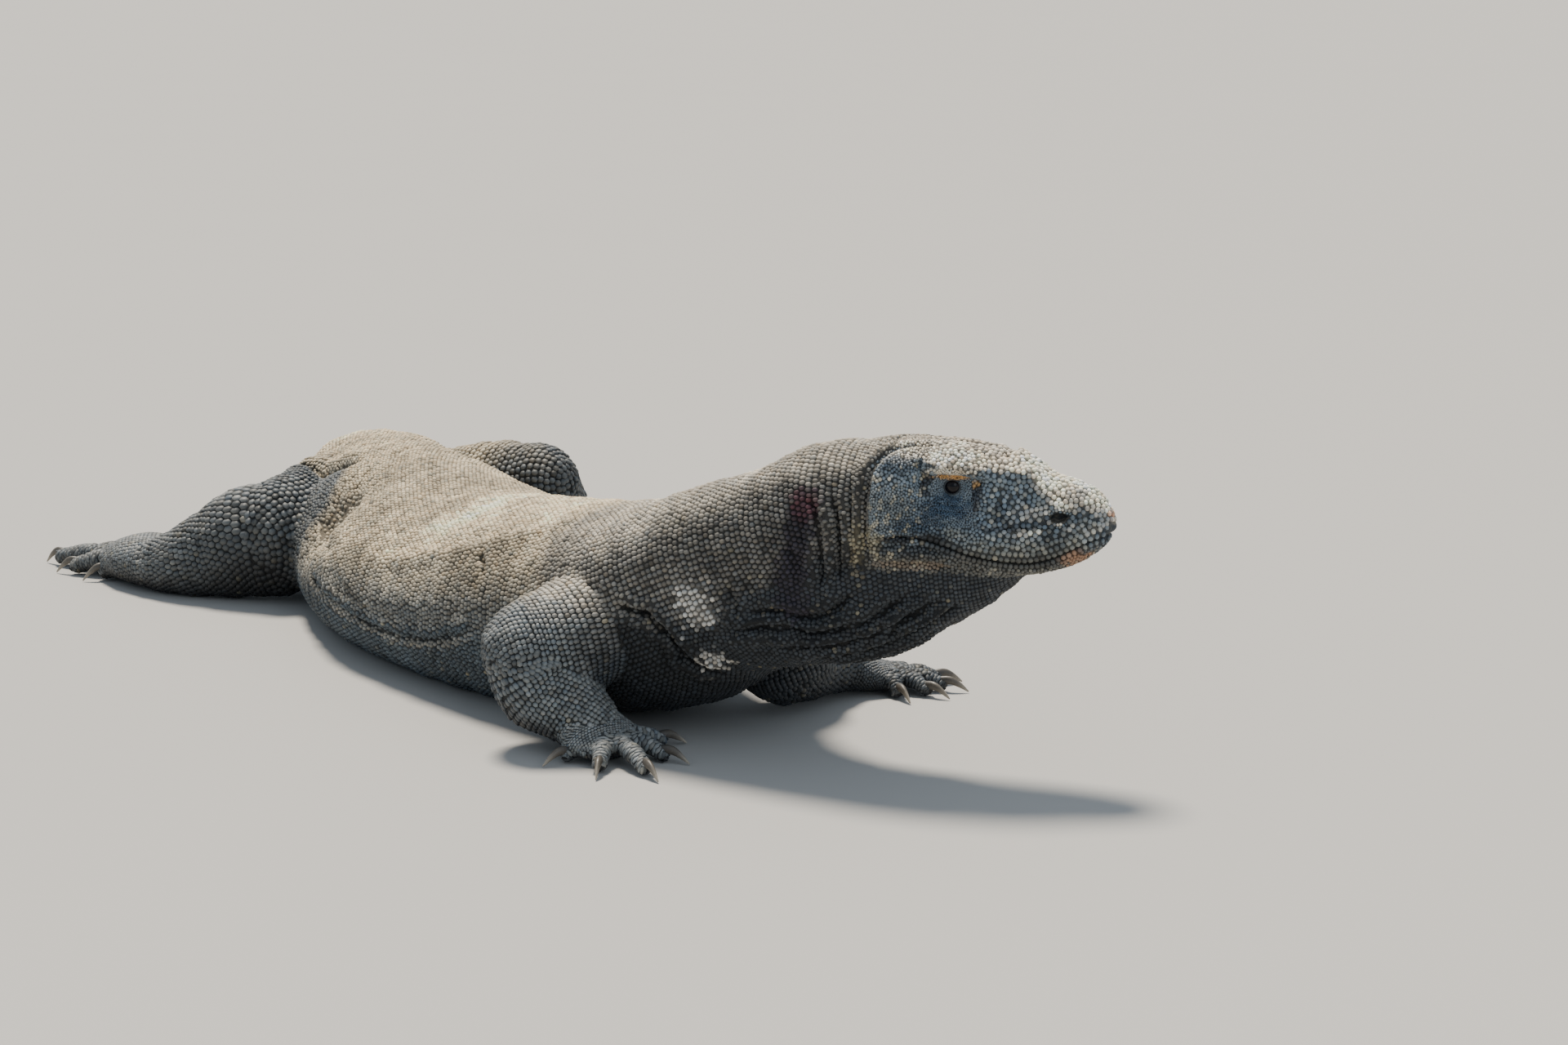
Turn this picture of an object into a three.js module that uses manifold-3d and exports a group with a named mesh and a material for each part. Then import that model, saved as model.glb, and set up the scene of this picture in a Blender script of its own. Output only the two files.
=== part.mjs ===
// A Komodo dragon (Varanus komodoensis) lying at rest with its head raised: a still, life-size model.
// Millimetres, +Z up, floor at z = 0. The head points along +X, and the trunk and tail curve away towards +Y.
// Every piece of flesh is a tube that swells and narrows along a line of stations, parted by thin cuts.
import * as THREE from 'three';
import Module from 'manifold-3d';
import { mergeVertices } from 'three/addons/utils/BufferGeometryUtils.js';

const wasm = await Module();
wasm.setup();

// ---- driving dimensions ----
const gap = 0.5; // the thin cut between two pieces
const floorSink = 6; // how far a cutting tool reaches below the floor
const ringPitch = 54; // distance between two rings of the trunk and tail
const headRings = 15;
const facets = { body: 18, tail: 13, head: 24, throat: 12, limb: 11, palm: 8, toe: 6, claw: 5, pit: 8 };
const domes = { blunt: [45], round: [28, 62] }; // degrees of the extra rings that round off an end
const degrees = Math.PI / 180;

const head = { place: new THREE.Vector3(410, -645, 265), yaw: -13 * degrees };
const eye = { along: 89, out: 35.5, up: 31, radius: 10.5, socket: 11.5 };
const nostril = { along: 190, out: 37, up: 9, radius: 5.5, inner: 2.8, depth: 16 };
const claw = { length: 26, radius: 6, tip: 1 };
const mouth = { reach: 100, below: -120 }; // half width and lowest point of the slab that cuts the jaw free

// ---- stations: place of the section's centre, half width, height above it, depth below it, then how peaked
// its back and how square its belly is (2 is an ellipse, less is peaked, more is square) ----
const station = (x, y, z, wide, up, down = up, ridge = 2, sag = 2) => (
  { centre: [x, y, z], size: [wide, up, down], bend: [ridge, sag, 0] });

const spine = [
  station(445, -660, 262, 54, 62, 58), // inside the head
  station(385, -638, 257, 64, 74, 74), // nape
  station(325, -600, 232, 76, 67, 88),
  station(270, -550, 201, 98, 72, 118), // foot of the neck
  station(218, -488, 160, 126, 84, 135, 1.9, 2.2), // shoulders
  station(152, -405, 125, 148, 98, 125, 1.8, 2.4),
  station(76, -298, 104, 164, 101, 122, 1.8, 2.6), // ribs
  station(-8, -172, 88, 172, 102, 106, 1.75, 2.7), // widest of the belly
  station(-80, -44, 80, 166, 118, 98, 1.7, 2.9),
  station(-135, 82, 76, 146, 126, 92, 1.65, 3), // flank
  station(-170, 180, 84, 120, 116, 96, 1.75, 2.6),
  station(-205, 265, 92, 96, 93, 98), // hips
  station(-240, 350, 84, 70, 76, 90), // root of the tail
  station(-264, 432, 74, 56, 60, 80),
  station(-288, 514, 64, 49, 52, 70),
  station(-292, 600, 57, 44, 46, 62),
  station(-262, 672, 52, 42, 43, 58),
  station(-196, 702, 48, 39, 40, 54),
  station(-125, 682, 44, 36, 38, 50),
  station(-62, 612, 41, 33, 36, 46),
  station(-5, 518, 38, 30, 34, 43),
  station(60, 410, 35, 27, 32, 39),
  station(150, 350, 30, 23, 28, 34),
  station(260, 335, 25, 19, 24, 29),
  station(370, 360, 19, 14, 18, 22),
  station(470, 415, 12, 9, 12, 14),
  station(545, 480, 6, 4, 5, 7), // tip of the tail
];

const throatLine = [
  station(562, -679, 218, 20, 10, 14), // under the chin
  station(525, -671, 211, 38, 25, 38),
  station(475, -662, 205, 48, 40, 63),
  station(415, -648, 195, 54, 50, 82),
  station(355, -620, 185, 60, 50, 86),
  station(285, -565, 165, 72, 50, 84),
  station(225, -490, 140, 60, 30, 70), // inside the chest
];

// Where the body is parted, as places in the list of spine stations.
const bodyPieces = [
  { name: 'neck', from: 0, to: 3.4 },
  { name: 'chest', from: 3.4, to: 6.2 },
  { name: 'belly', from: 6.2, to: 9.3 },
  { name: 'hips', from: 9.3, to: 12 },
  { name: 'tail_1', from: 12, to: 14.5 },
  { name: 'tail_2', from: 14.5, to: 17 },
  { name: 'tail_3', from: 17, to: 19.5 },
  { name: 'tail_4', from: 19.5, to: 22 },
  { name: 'tail_5', from: 22, to: 24.2 },
  { name: 'tail_6', from: 24.2, to: 26 },
];

// The head, from the nape to the snout: distance along it, then how far out and how high each rail runs,
// from the crown down the side to the chin. Heights are from the middle of the nape.
const railNames = ['crown', 'brow', 'temple', 'cheek', 'lip', 'jaw', 'chin'];
const section = (along, ...rails) => (
  Object.fromEntries(railNames.map((name, i) => [name, [along, ...rails[i]]])));

const headSections = [
  section(-12, [0, 64], [38, 52], [56, 30], [64, -6], [62, -30], [50, -50], [0, -55]),
  section(20, [0, 71], [42, 59], [59, 34], [67, -6], [64, -26], [50, -53], [0, -58]),
  section(60, [0, 72], [40, 63], [51, 36], [61, -8], [59, -23], [46, -54], [0, -59]),
  section(92, [0, 70], [39, 63], [42, 34], [56, -10], [56, -29], [42, -55], [0, -59]),
  section(125, [0, 66], [34, 57], [41, 31], [51, -14], [50, -37], [37, -55], [0, -58]),
  section(155, [0, 60], [30, 50], [38, 28], [46, -16], [45, -40], [33, -54], [0, -57]),
  section(183, [0, 42], [28, 34], [36, 20], [42, -14], [40, -36], [29, -50], [0, -53]),
  section(207, [0, 35], [26, 27], [33, 13], [37, -12], [34, -29], [24, -43], [0, -46]),
  section(226, [0, 26], [20, 17], [26, 4], [28, -11], [26, -21], [16, -32], [0, -35]),
  section(238, [0, 11], [10, 6], [14, 0], [15, -8], [13, -14], [8, -20], [0, -22]),
  section(243, [0, -2], [3, -4], [4, -6], [4, -8], [4, -10], [3, -12], [0, -13]),
];

// The closed mouth, seen from the side: distance along the head and height.
const mouthLine = [
  [2, -34], [16, -24], [34, -17], [58, -18], [84, -25], [112, -35], [150, -41], [178, -39], [203, -29],
  [224, -19], [252, -14],
];

// ---- limbs: each length is a tube with round ends, and the toes fan out from one root, first toe first ----
const limbs = {
  arm_right: {
    upper: [station(185, -498, 124, 60, 64), station(122, -548, 114, 58, 58), station(66, -572, 100, 50, 54)],
    lower: [station(66, -574, 98, 46, 48), station(78, -582, 68, 47, 49), station(118, -592, 38, 39, 34)],
    foot: [station(114, -590, 34, 38, 29), station(134, -604, 22, 46, 21), station(152, -622, 14, 44, 14)],
    toes: { root: [146, -608, 13], heading: -58, radius: 11 },
    toeLengths: [58, 64, 88, 66, 50],
    toeTurns: [84, 32, -4, -36, -84],
  },
  arm_left: {
    upper: [station(284, -424, 134, 60, 68), station(310, -426, 98, 58, 66), station(326, -424, 60, 50, 58)],
    lower: [station(328, -422, 54, 46, 50), station(356, -392, 44, 39, 41), station(386, -360, 34, 31, 31)],
    foot: [station(382, -362, 31, 31, 28), station(414, -345, 20, 38, 20), station(442, -338, 14, 37, 14)],
    toes: { root: [430, -341, 13], heading: -8, radius: 10.5 },
    toeLengths: [48, 62, 70, 66, 50],
    toeTurns: [-58, -27, -4, 22, 54],
  },
  leg_right: {
    upper: [station(-190, 235, 98, 66, 72), station(-250, 170, 92, 66, 76), station(-298, 98, 78, 57, 72)],
    lower: [
      station(-300, 100, 76, 52, 71), station(-340, 106, 71, 50, 69), station(-380, 117, 57, 46, 58),
      station(-425, 130, 43, 40, 43), station(-460, 150, 34, 37, 33),
    ],
    foot: [station(-456, 150, 34, 40, 33), station(-482, 186, 33, 48, 34), station(-504, 222, 27, 50, 29)],
    toes: { root: [-492, 222, 18], heading: 150, radius: 15 },
    toeLengths: [52, 96, 146, 130, 96],
    toeTurns: [48, 18, -1, -19, -36],
  },
  leg_left: {
    upper: [station(-140, 240, 86, 66, 68), station(-48, 196, 122, 56, 59), station(20, 152, 134, 49, 52)],
    lower: [station(24, 156, 130, 44, 48), station(38, 192, 88, 42, 44), station(58, 240, 42, 32, 34)],
    foot: [station(54, 238, 34, 31, 28), station(94, 244, 22, 39, 21), station(124, 240, 16, 40, 16)],
    toes: { root: [112, 242, 14], heading: -14, radius: 11 },
    toeLengths: [52, 78, 104, 118, 84],
    toeTurns: [-42, -20, -2, 14, 46],
  },
};

// ---- materials ----
const skin = (color, roughness) => new THREE.MeshStandardMaterial({ color, roughness, metalness: 0 });
const trunkSkin = skin(0x8a7d69, 0.85);
const headSkin = skin(0x75736b, 0.8);
const limbSkin = skin(0x57595a, 0.8);
const hornDark = skin(0x2b2a29, 0.45);
const eyeDark = skin(0x1a130e, 0.1);

// ---- solids ----
function solid(geometry) {
  const bare = geometry.clone();
  bare.deleteAttribute('normal');
  bare.deleteAttribute('uv');
  const merged = mergeVertices(bare, 1e-3);
  return new wasm.Manifold(new wasm.Mesh({
    numProp: 3,
    vertProperties: new Float32Array(merged.getAttribute('position').array),
    triVerts: new Uint32Array(merged.index.array),
  }));
}

const largest = (body) => body.decompose().sort((a, b) => b.volume() - a.volume())[0];
const without = (body, tools) => largest(tools.reduce((left, tool) => left.subtract(tool), body));

function geometryOf(body) {
  const mesh = body.getMesh();
  const geometry = new THREE.BufferGeometry();
  geometry.setAttribute('position', new THREE.BufferAttribute(new Float32Array(mesh.vertProperties), 3));
  geometry.setIndex(new THREE.BufferAttribute(new Uint32Array(mesh.triVerts), 1));
  geometry.computeVertexNormals();
  return geometry;
}

// Adds a solid, given in the floor's frame, as a mesh of a group that may be placed and turned itself.
function add(group, name, body, surface, place) {
  group.updateMatrixWorld(true);
  const local = group.worldToLocal(place.clone());
  const geometry = geometryOf(body).applyMatrix4(group.matrixWorld.clone().invert());
  const mesh = new THREE.Mesh(geometry.translate(-local.x, -local.y, -local.z), surface);
  mesh.name = name;
  mesh.position.copy(local);
  group.add(mesh);
}

// ---- shapes ----
const up = new THREE.Vector3(0, 0, 1);
const curve = (points, closed = false) => new THREE.CatmullRomCurve3(points, closed, 'catmullrom');
const spread = (list) => curve(list.map((p) => new THREE.Vector3(...p)));
const rounded = (share, power) => Math.sign(share) * Math.abs(share) ** power;

// A capped cylinder whose points are each moved to placeOf(turn, ring, out), where out is 0 in the middle of
// a cap. What falls below the floor is flattened on it.
function swell(around, rings, grow, placeOf) {
  const geometry = new THREE.CylinderGeometry(1, 1, 1, around, rings);
  const points = geometry.getAttribute('position');
  const lowest = grow > 0 ? -floorSink : 0;
  for (let i = 0; i < points.count; i++) {
    const [x, y, z] = [points.getX(i), points.getY(i), points.getZ(i)];
    const out = Math.hypot(x, z) > 0.5 ? 1 : 0;
    const p = placeOf(Math.atan2(-z, x), Math.round((y + 0.5) * rings), out);
    points.setXYZ(i, p.x, p.y, Math.max(p.z, lowest));
  }
  return solid(geometry);
}

// Rings of a tube: a place in the list of stations, a scale, and a push along the tube that rounds its ends.
function ringsOf({ from, to, rings, round, dome }) {
  const bulge = dome.map((a) => ({ scale: Math.sin(a * degrees), push: Math.cos(a * degrees) }));
  const start = bulge.map(({ scale, push }) => ({ t: from, scale, push: -push }));
  const end = bulge.map(({ scale, push }) => ({ t: to, scale, push })).reverse();
  const middle = Array.from({ length: rings + 1 }, (_, i) => (
    { t: from + ((to - from) * i) / rings, scale: 1, push: 0 }));
  return [...(round[0] ? start : []), ...middle, ...(round[1] ? end : [])];
}

// A tube along stations from one place in their list to another, grown all round by an amount.
function tube(stations, options) {
  const last = stations.length - 1;
  const choice = { from: 0, to: last, grow: 0, round: [false, false], dome: domes.round, ...options };
  const centres = spread(stations.map((s) => s.centre));
  const sizes = spread(stations.map((s) => s.size));
  const bends = spread(stations.map((s) => s.bend));
  const frames = ringsOf(choice).map(({ t, scale, push }) => {
    const size = sizes.getPoint(t / last).addScalar(choice.grow);
    const bend = bends.getPoint(t / last);
    const forward = centres.getTangent(t / last);
    const side = new THREE.Vector3().crossVectors(up, forward).normalize();
    const above = new THREE.Vector3().crossVectors(forward, side);
    const centre = centres.getPoint(t / last).addScaledVector(forward, push * Math.min(size.x, size.y));
    return { centre, side, above, bend, size: size.multiplyScalar(scale) };
  });
  return swell(choice.around, frames.length - 1, choice.grow, (turn, ring, out) => {
    const { centre, side, above, bend, size } = frames[ring];
    const isBack = Math.sin(turn) > 0;
    const power = 2 / (isBack ? bend.x : bend.y);
    const across = rounded(Math.cos(turn), power) * size.x * out;
    const rise = rounded(Math.sin(turn), power) * (isBack ? size.y : size.z) * out;
    return centre.clone().addScaledVector(side, across).addScaledVector(above, rise);
  });
}

function ball(place, radius) {
  return solid(new THREE.SphereGeometry(radius, 10, 7).translate(place.x, place.y, place.z));
}

// ---- head ----
const headGroup = new THREE.Group();
headGroup.position.copy(head.place);
headGroup.rotation.z = head.yaw;
headGroup.updateMatrixWorld(true);
const atHead = (along, out, high) => headGroup.localToWorld(new THREE.Vector3(along, out, high));

// A closed loop through every rail at each ring, on both sides, pushed outwards to grow it.
function headShape(grow) {
  const rails = Object.fromEntries(railNames.map((name) => [name, spread(headSections.map((s) => s[name]))]));
  const [crown, ...side] = railNames.slice(0, -1);
  const order = ['cheek', 'temple', 'brow', crown].map((name) => ({ name, hand: 1 }))
    .concat(side.map((name) => ({ name, hand: -1 })), [{ name: 'chin', hand: 1 }])
    .concat(['jaw', 'lip'].map((name) => ({ name, hand: 1 })));
  const loops = Array.from({ length: headRings + 1 }, (_, ring) => {
    const points = order.map(({ name, hand }) => {
      const p = rails[name].getPoint(ring / headRings);
      const outward = new THREE.Vector3(0, p.y, p.z - headSections.at(-1).cheek[2]).normalize();
      p.addScaledVector(outward, grow);
      return new THREE.Vector3(p.x, p.y * hand, p.z);
    });
    return { loop: curve(points, true), middle: rails.cheek.getPoint(ring / headRings).setY(0) };
  });
  const endPush = { 0: -grow, [headRings]: grow };
  return swell(facets.head, headRings, grow, (turn, ring, out) => {
    const { loop, middle } = loops[ring];
    const share = (turn / (2 * Math.PI) + 1) % 1;
    const p = out ? loop.getPoint(share) : middle;
    return atHead(p.x + (endPush[ring] ?? 0), p.y, p.z);
  });
}

// Everything below the mouth line, as one thick slab across the head.
function belowMouth(lift) {
  const outline = new THREE.Shape();
  const [[startAlong, startHigh], ...rest] = mouthLine;
  outline.moveTo(startAlong, mouth.below);
  outline.lineTo(startAlong, startHigh + lift);
  outline.splineThru(rest.map(([along, high]) => new THREE.Vector2(along, high + lift)));
  outline.lineTo(rest.at(-1)[0], mouth.below);
  outline.closePath();
  const options = { depth: 2 * mouth.reach, bevelEnabled: false, curveSegments: 1 };
  const slab = new THREE.ExtrudeGeometry(outline, options).rotateX(Math.PI / 2).translate(0, mouth.reach, 0);
  return solid(slab.applyMatrix4(headGroup.matrixWorld));
}

function nostrilPit(side) {
  const pit = new THREE.CylinderGeometry(nostril.radius, nostril.inner, nostril.depth, facets.pit);
  if (side < 0) pit.rotateX(Math.PI);
  const place = atHead(nostril.along, side * nostril.out, nostril.up);
  return solid(pit.translate(place.x, place.y, place.z));
}

const sides = { right: -1, left: 1 };
const eyePlace = (side) => atHead(eye.along, side * eye.out, eye.up);
const headWhole = headShape(0);
const headGrown = headShape(gap);
const pits = Object.values(sides).flatMap((side) => [ball(eyePlace(side), eye.socket), nostrilPit(side)]);
add(headGroup, 'head', without(headWhole, [belowMouth(0), ...pits]), headSkin, head.place);
add(headGroup, 'lower_jaw', largest(headWhole.intersect(belowMouth(-gap))), headSkin, atHead(20, 0, -40));
for (const [name, side] of Object.entries(sides)) {
  add(headGroup, 'eye_' + name, ball(eyePlace(side), eye.radius), eyeDark, eyePlace(side));
}

// ---- neck, trunk and tail ----
const bodyGroup = new THREE.Group();
const tip = spine.length - 1;
const placeOn = (t) => spread(spine.map((s) => s.centre)).getPoint(t / tip);
const cut = 0.004; // half a thin cut, as a share of the way between two stations
const grownBody = [];
for (const { name, from, to } of bodyPieces) {
  const rings = Math.max(3, Math.round(placeOn(from).distanceTo(placeOn(to)) / ringPitch));
  const around = name.startsWith('tail') ? facets.tail : facets.body;
  const ends = { from: from === 0 ? 0 : from + cut, to: to === tip ? tip : to - cut };
  const piece = tube(spine, { ...ends, around, rings, round: [false, to === tip] });
  grownBody.push(tube(spine, { from, to, around, rings, grow: gap }));
  const shown = name === 'neck' ? without(piece, [headGrown]) : piece;
  add(bodyGroup, name, shown, trunkSkin, placeOn((from + to) / 2));
}
const throatOptions = { around: facets.throat, rings: 8 };
const throat = without(tube(throatLine, throatOptions), [headGrown, ...grownBody]);
add(bodyGroup, 'throat', throat, trunkSkin, new THREE.Vector3(...throatLine[3].centre));
const grownTrunk = [...grownBody, tube(throatLine, { ...throatOptions, grow: gap })];

// ---- legs, toes and claws ----
const heading = (angle) => new THREE.Vector3(Math.cos(angle * degrees), Math.sin(angle * degrees), 0);

// One toe leaves the palm low, arches over its knuckle and comes down on its pad.
function toeStations({ root, radius }, length, way) {
  const at = (share, z, r) => {
    const p = new THREE.Vector3(...root).addScaledVector(way, length * share);
    return station(p.x, p.y, z, r, r * 0.95);
  };
  return [
    at(0, root[2], radius * 0.9), at(0.35, radius + 8, radius), at(0.68, radius + 6, radius * 0.96),
    at(1, radius * 0.82, radius * 0.8),
  ];
}

// A claw leaves the end of its toe level and hooks down to the floor.
function clawStations({ root, radius }, length, way) {
  const at = (share, z, r) => {
    const p = new THREE.Vector3(...root).addScaledVector(way, length + claw.length * share);
    return station(p.x, p.y, z, r * 0.8, r);
  };
  return [
    at(-0.1, radius * 1.1, claw.radius), at(0.35, radius * 1.23, claw.radius * 0.86),
    at(0.75, radius * 0.82, claw.radius * 0.55), at(1.12, claw.tip * 2.2, claw.tip),
  ];
}

for (const [limb, { upper, lower, foot, toes, toeLengths, toeTurns }] of Object.entries(limbs)) {
  const group = new THREE.Group();
  bodyGroup.add(group);
  const upperOptions = { around: facets.limb, rings: 3, round: [false, true] };
  const lowerOptions = { ...upperOptions, round: [true, true] };
  const upperGrown = tube(upper, { ...upperOptions, grow: gap });
  const lowerGrown = tube(lower, { ...lowerOptions, grow: gap });
  const upperSolid = without(tube(upper, upperOptions), grownTrunk);
  const lowerSolid = without(tube(lower, lowerOptions), [upperGrown, ...grownTrunk]);
  add(group, limb + '_upper', upperSolid, limbSkin, new THREE.Vector3(...upper[1].centre));
  add(group, limb + '_lower', lowerSolid, limbSkin, new THREE.Vector3(...lower[0].centre));

  const toeOptions = { around: facets.toe, rings: 3, round: [false, true], dome: domes.blunt };
  const ways = toeTurns.map((turn) => heading(toes.heading + turn));
  const toeLines = toeLengths.map((length, i) => toeStations(toes, length, ways[i]));
  const palm = tube(foot, { ...lowerOptions, around: facets.palm, rings: 2 });
  const footWhole = toeLines.reduce((sum, line) => sum.add(tube(line, toeOptions)), palm);
  const footSolid = without(footWhole, [lowerGrown, upperGrown, ...grownTrunk]);
  const footName = limb.replace('arm', 'hand').replace('leg', 'foot');
  add(group, footName, footSolid, limbSkin, new THREE.Vector3(...foot[0].centre));
  toeLines.forEach((line, i) => {
    const horn = tube(clawStations(toes, toeLengths[i], ways[i]), { around: facets.claw, rings: 2 });
    const hornSolid = without(horn, [tube(line, { ...toeOptions, grow: gap })]);
    add(group, footName + '_claw_' + (i + 1), hornSolid, hornDark, new THREE.Vector3(...line.at(-1).centre));
  });
}

// ---- the whole animal, its middle above the origin ----
const dragon = new THREE.Group();
dragon.add(bodyGroup, headGroup);
const box = new THREE.Box3().setFromObject(dragon, true);
const middle = box.getCenter(new THREE.Vector3());
dragon.position.set(-middle.x, -middle.y, 0);
export default dragon;
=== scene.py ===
import math

import bpy
import numpy as np
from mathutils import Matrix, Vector
from mathutils.bvhtree import BVHTree
from mathutils.kdtree import KDTree


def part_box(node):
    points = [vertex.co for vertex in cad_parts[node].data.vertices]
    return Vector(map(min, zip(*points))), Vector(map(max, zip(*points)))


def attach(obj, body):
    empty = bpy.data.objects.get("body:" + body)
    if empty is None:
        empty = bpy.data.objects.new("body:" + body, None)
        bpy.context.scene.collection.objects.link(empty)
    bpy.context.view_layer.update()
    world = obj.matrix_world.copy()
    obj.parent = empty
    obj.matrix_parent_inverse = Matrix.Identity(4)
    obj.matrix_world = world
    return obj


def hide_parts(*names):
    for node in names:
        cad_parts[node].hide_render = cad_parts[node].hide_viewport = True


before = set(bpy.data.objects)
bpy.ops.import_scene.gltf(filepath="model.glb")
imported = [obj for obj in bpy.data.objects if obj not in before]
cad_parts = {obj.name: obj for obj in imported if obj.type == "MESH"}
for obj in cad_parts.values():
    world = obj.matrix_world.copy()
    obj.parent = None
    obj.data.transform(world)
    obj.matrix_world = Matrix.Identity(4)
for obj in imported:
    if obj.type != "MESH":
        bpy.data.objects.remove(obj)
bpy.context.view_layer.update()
random = np.random.default_rng(11)
mm = 0.001


# ================= small sums on arrays of points =================

def unit(v):
    # each vector divided by its length
    return v / np.maximum(np.linalg.norm(v, axis=-1, keepdims=True), 1e-12)


def smoothStep(low, high, value):
    # 3s^2 - 2s^3 of how far the value has gone from low to high
    s = np.clip((value - low) / (high - low), 0, 1)
    return s * s * (3 - 2 * s)


def bell(value, middle, width):
    # e to the minus squared distance from the middle, counted in widths
    return np.exp(-(((value - middle) / width) ** 2))


def waves(points, size, seed, count=14):
    # A cloudy field about -1 to 1: the sum of sines that run in random directions, about one size long.
    source = np.random.default_rng(seed)
    ways = unit(source.normal(size=(count, 3))) * (2 * np.pi / size) * source.uniform(0.6, 1.5, (count, 1))
    starts = source.uniform(0, 2 * np.pi, count)
    return np.sin(points @ ways.T + starts).sum(1) / math.sqrt(count / 2) / 1.4


def cubic(a, b, c, d, s):
    # The cubic in s from b at 0 to c at 1, whose slope at each is half the chord between its two neighbours.
    m, n = (c - a) / 2, (d - b) / 2
    return b + s * m + s**2 * (3 * (c - b) - 2 * m - n) + s**3 * (2 * (b - c) + m + n)


def splineAt(points, place):
    # a cubic between each pair of points, after one more point is added past each end on a straight line
    p = np.asarray(points, float)
    whole = np.clip(np.floor(place).astype(int), 0, len(p) - 2)
    padded = np.vstack([2 * p[0] - p[1], p, 2 * p[-1] - p[-2]])
    a, b, c, d = (padded[whole + k] for k in range(4))
    return cubic(a, b, c, d, (place - whole)[..., None])


def mix(a, b, share):
    # a where the share is 0 and b where it is 1
    return a + (np.asarray(b) - a) * share[..., None]


# ================= the body's lines, in millimetres on the floor's frame =================
# Each row: centre x y z, half width, height above it, depth below it (the same where it isn't given), then how
# peaked its back and how square its belly is (2 is an ellipse and the rule, less is peaked, more is square).

spineRows = [
    (445, -660, 262, 54, 62, 58), (385, -638, 257, 64, 74, 74), (325, -600, 232, 76, 67, 88),
    (270, -550, 201, 98, 72, 118), (218, -488, 160, 126, 84, 135, 1.9, 2.2),
    (152, -405, 125, 148, 98, 125, 1.8, 2.4), (76, -298, 104, 164, 101, 122, 1.8, 2.6),
    (-8, -172, 88, 172, 102, 106, 1.75, 2.7), (-80, -44, 80, 166, 118, 98, 1.7, 2.9),
    (-135, 82, 76, 146, 126, 92, 1.65, 3), (-170, 180, 84, 120, 116, 96, 1.75, 2.6),
    (-205, 265, 92, 96, 93, 98), (-240, 350, 84, 70, 76, 90), (-264, 432, 74, 56, 60, 80),
    (-288, 514, 64, 49, 52, 70), (-292, 600, 57, 44, 46, 62), (-262, 672, 52, 42, 43, 58),
    (-196, 702, 48, 39, 40, 54), (-125, 682, 44, 36, 38, 50), (-62, 612, 41, 33, 36, 46),
    (-5, 518, 38, 30, 34, 43), (60, 410, 35, 27, 32, 39), (150, 350, 30, 23, 28, 34),
    (260, 335, 25, 19, 24, 29), (370, 360, 19, 14, 18, 22), (470, 415, 12, 9, 12, 14),
    (545, 480, 6, 4, 5, 7),
]
throatRows = [
    (562, -679, 218, 20, 10, 14), (525, -671, 211, 38, 25, 38), (475, -662, 205, 48, 40, 63),
    (415, -648, 195, 54, 50, 82), (355, -620, 185, 60, 50, 86), (285, -565, 165, 72, 50, 84),
    (225, -490, 140, 60, 30, 70),
]
limbRows = {
    "arm_right": {
        "upper": [(185, -498, 124, 60, 64), (122, -548, 114, 58, 58), (66, -572, 100, 50, 54)],
        "lower": [(66, -574, 98, 46, 48), (78, -582, 68, 47, 49), (118, -592, 38, 39, 34)],
        "palm": [(114, -590, 34, 38, 29), (134, -604, 22, 46, 21), (152, -622, 14, 44, 14)],
        "toes": {"root": (146, -608, 13), "heading": -58, "radius": 11},
        "lengths": [58, 64, 88, 66, 50], "turns": [84, 32, -4, -36, -84],
    },
    "arm_left": {
        "upper": [(284, -424, 134, 60, 68), (310, -426, 98, 58, 66), (326, -424, 60, 50, 58)],
        "lower": [(328, -422, 54, 46, 50), (356, -392, 44, 39, 41), (386, -360, 34, 31, 31)],
        "palm": [(382, -362, 31, 31, 28), (414, -345, 20, 38, 20), (442, -338, 14, 37, 14)],
        "toes": {"root": (430, -341, 13), "heading": -8, "radius": 10.5},
        "lengths": [48, 62, 70, 66, 50], "turns": [-58, -27, -4, 22, 54],
    },
    "leg_right": {
        "upper": [(-190, 235, 98, 66, 72), (-250, 170, 92, 66, 76), (-298, 98, 78, 57, 72)],
        "lower": [(-300, 100, 76, 52, 71), (-340, 106, 71, 50, 69), (-380, 117, 57, 46, 58),
                  (-425, 130, 43, 40, 43), (-460, 150, 34, 37, 33)],
        "palm": [(-456, 150, 34, 40, 33), (-482, 186, 33, 48, 34), (-504, 222, 27, 50, 29)],
        "toes": {"root": (-492, 222, 18), "heading": 150, "radius": 15},
        "lengths": [52, 96, 146, 130, 96], "turns": [48, 18, -1, -19, -36],
    },
    "leg_left": {
        "upper": [(-140, 240, 86, 66, 68), (-48, 196, 122, 56, 59), (20, 152, 134, 49, 52)],
        "lower": [(24, 156, 130, 44, 48), (38, 192, 88, 42, 44), (58, 240, 42, 32, 34)],
        "palm": [(54, 238, 34, 31, 28), (94, 244, 22, 39, 21), (124, 240, 16, 40, 16)],
        "toes": {"root": (112, 242, 14), "heading": -14, "radius": 11},
        "lengths": [52, 78, 104, 118, 84], "turns": [-42, -20, -2, 14, 46],
    },
}

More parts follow.
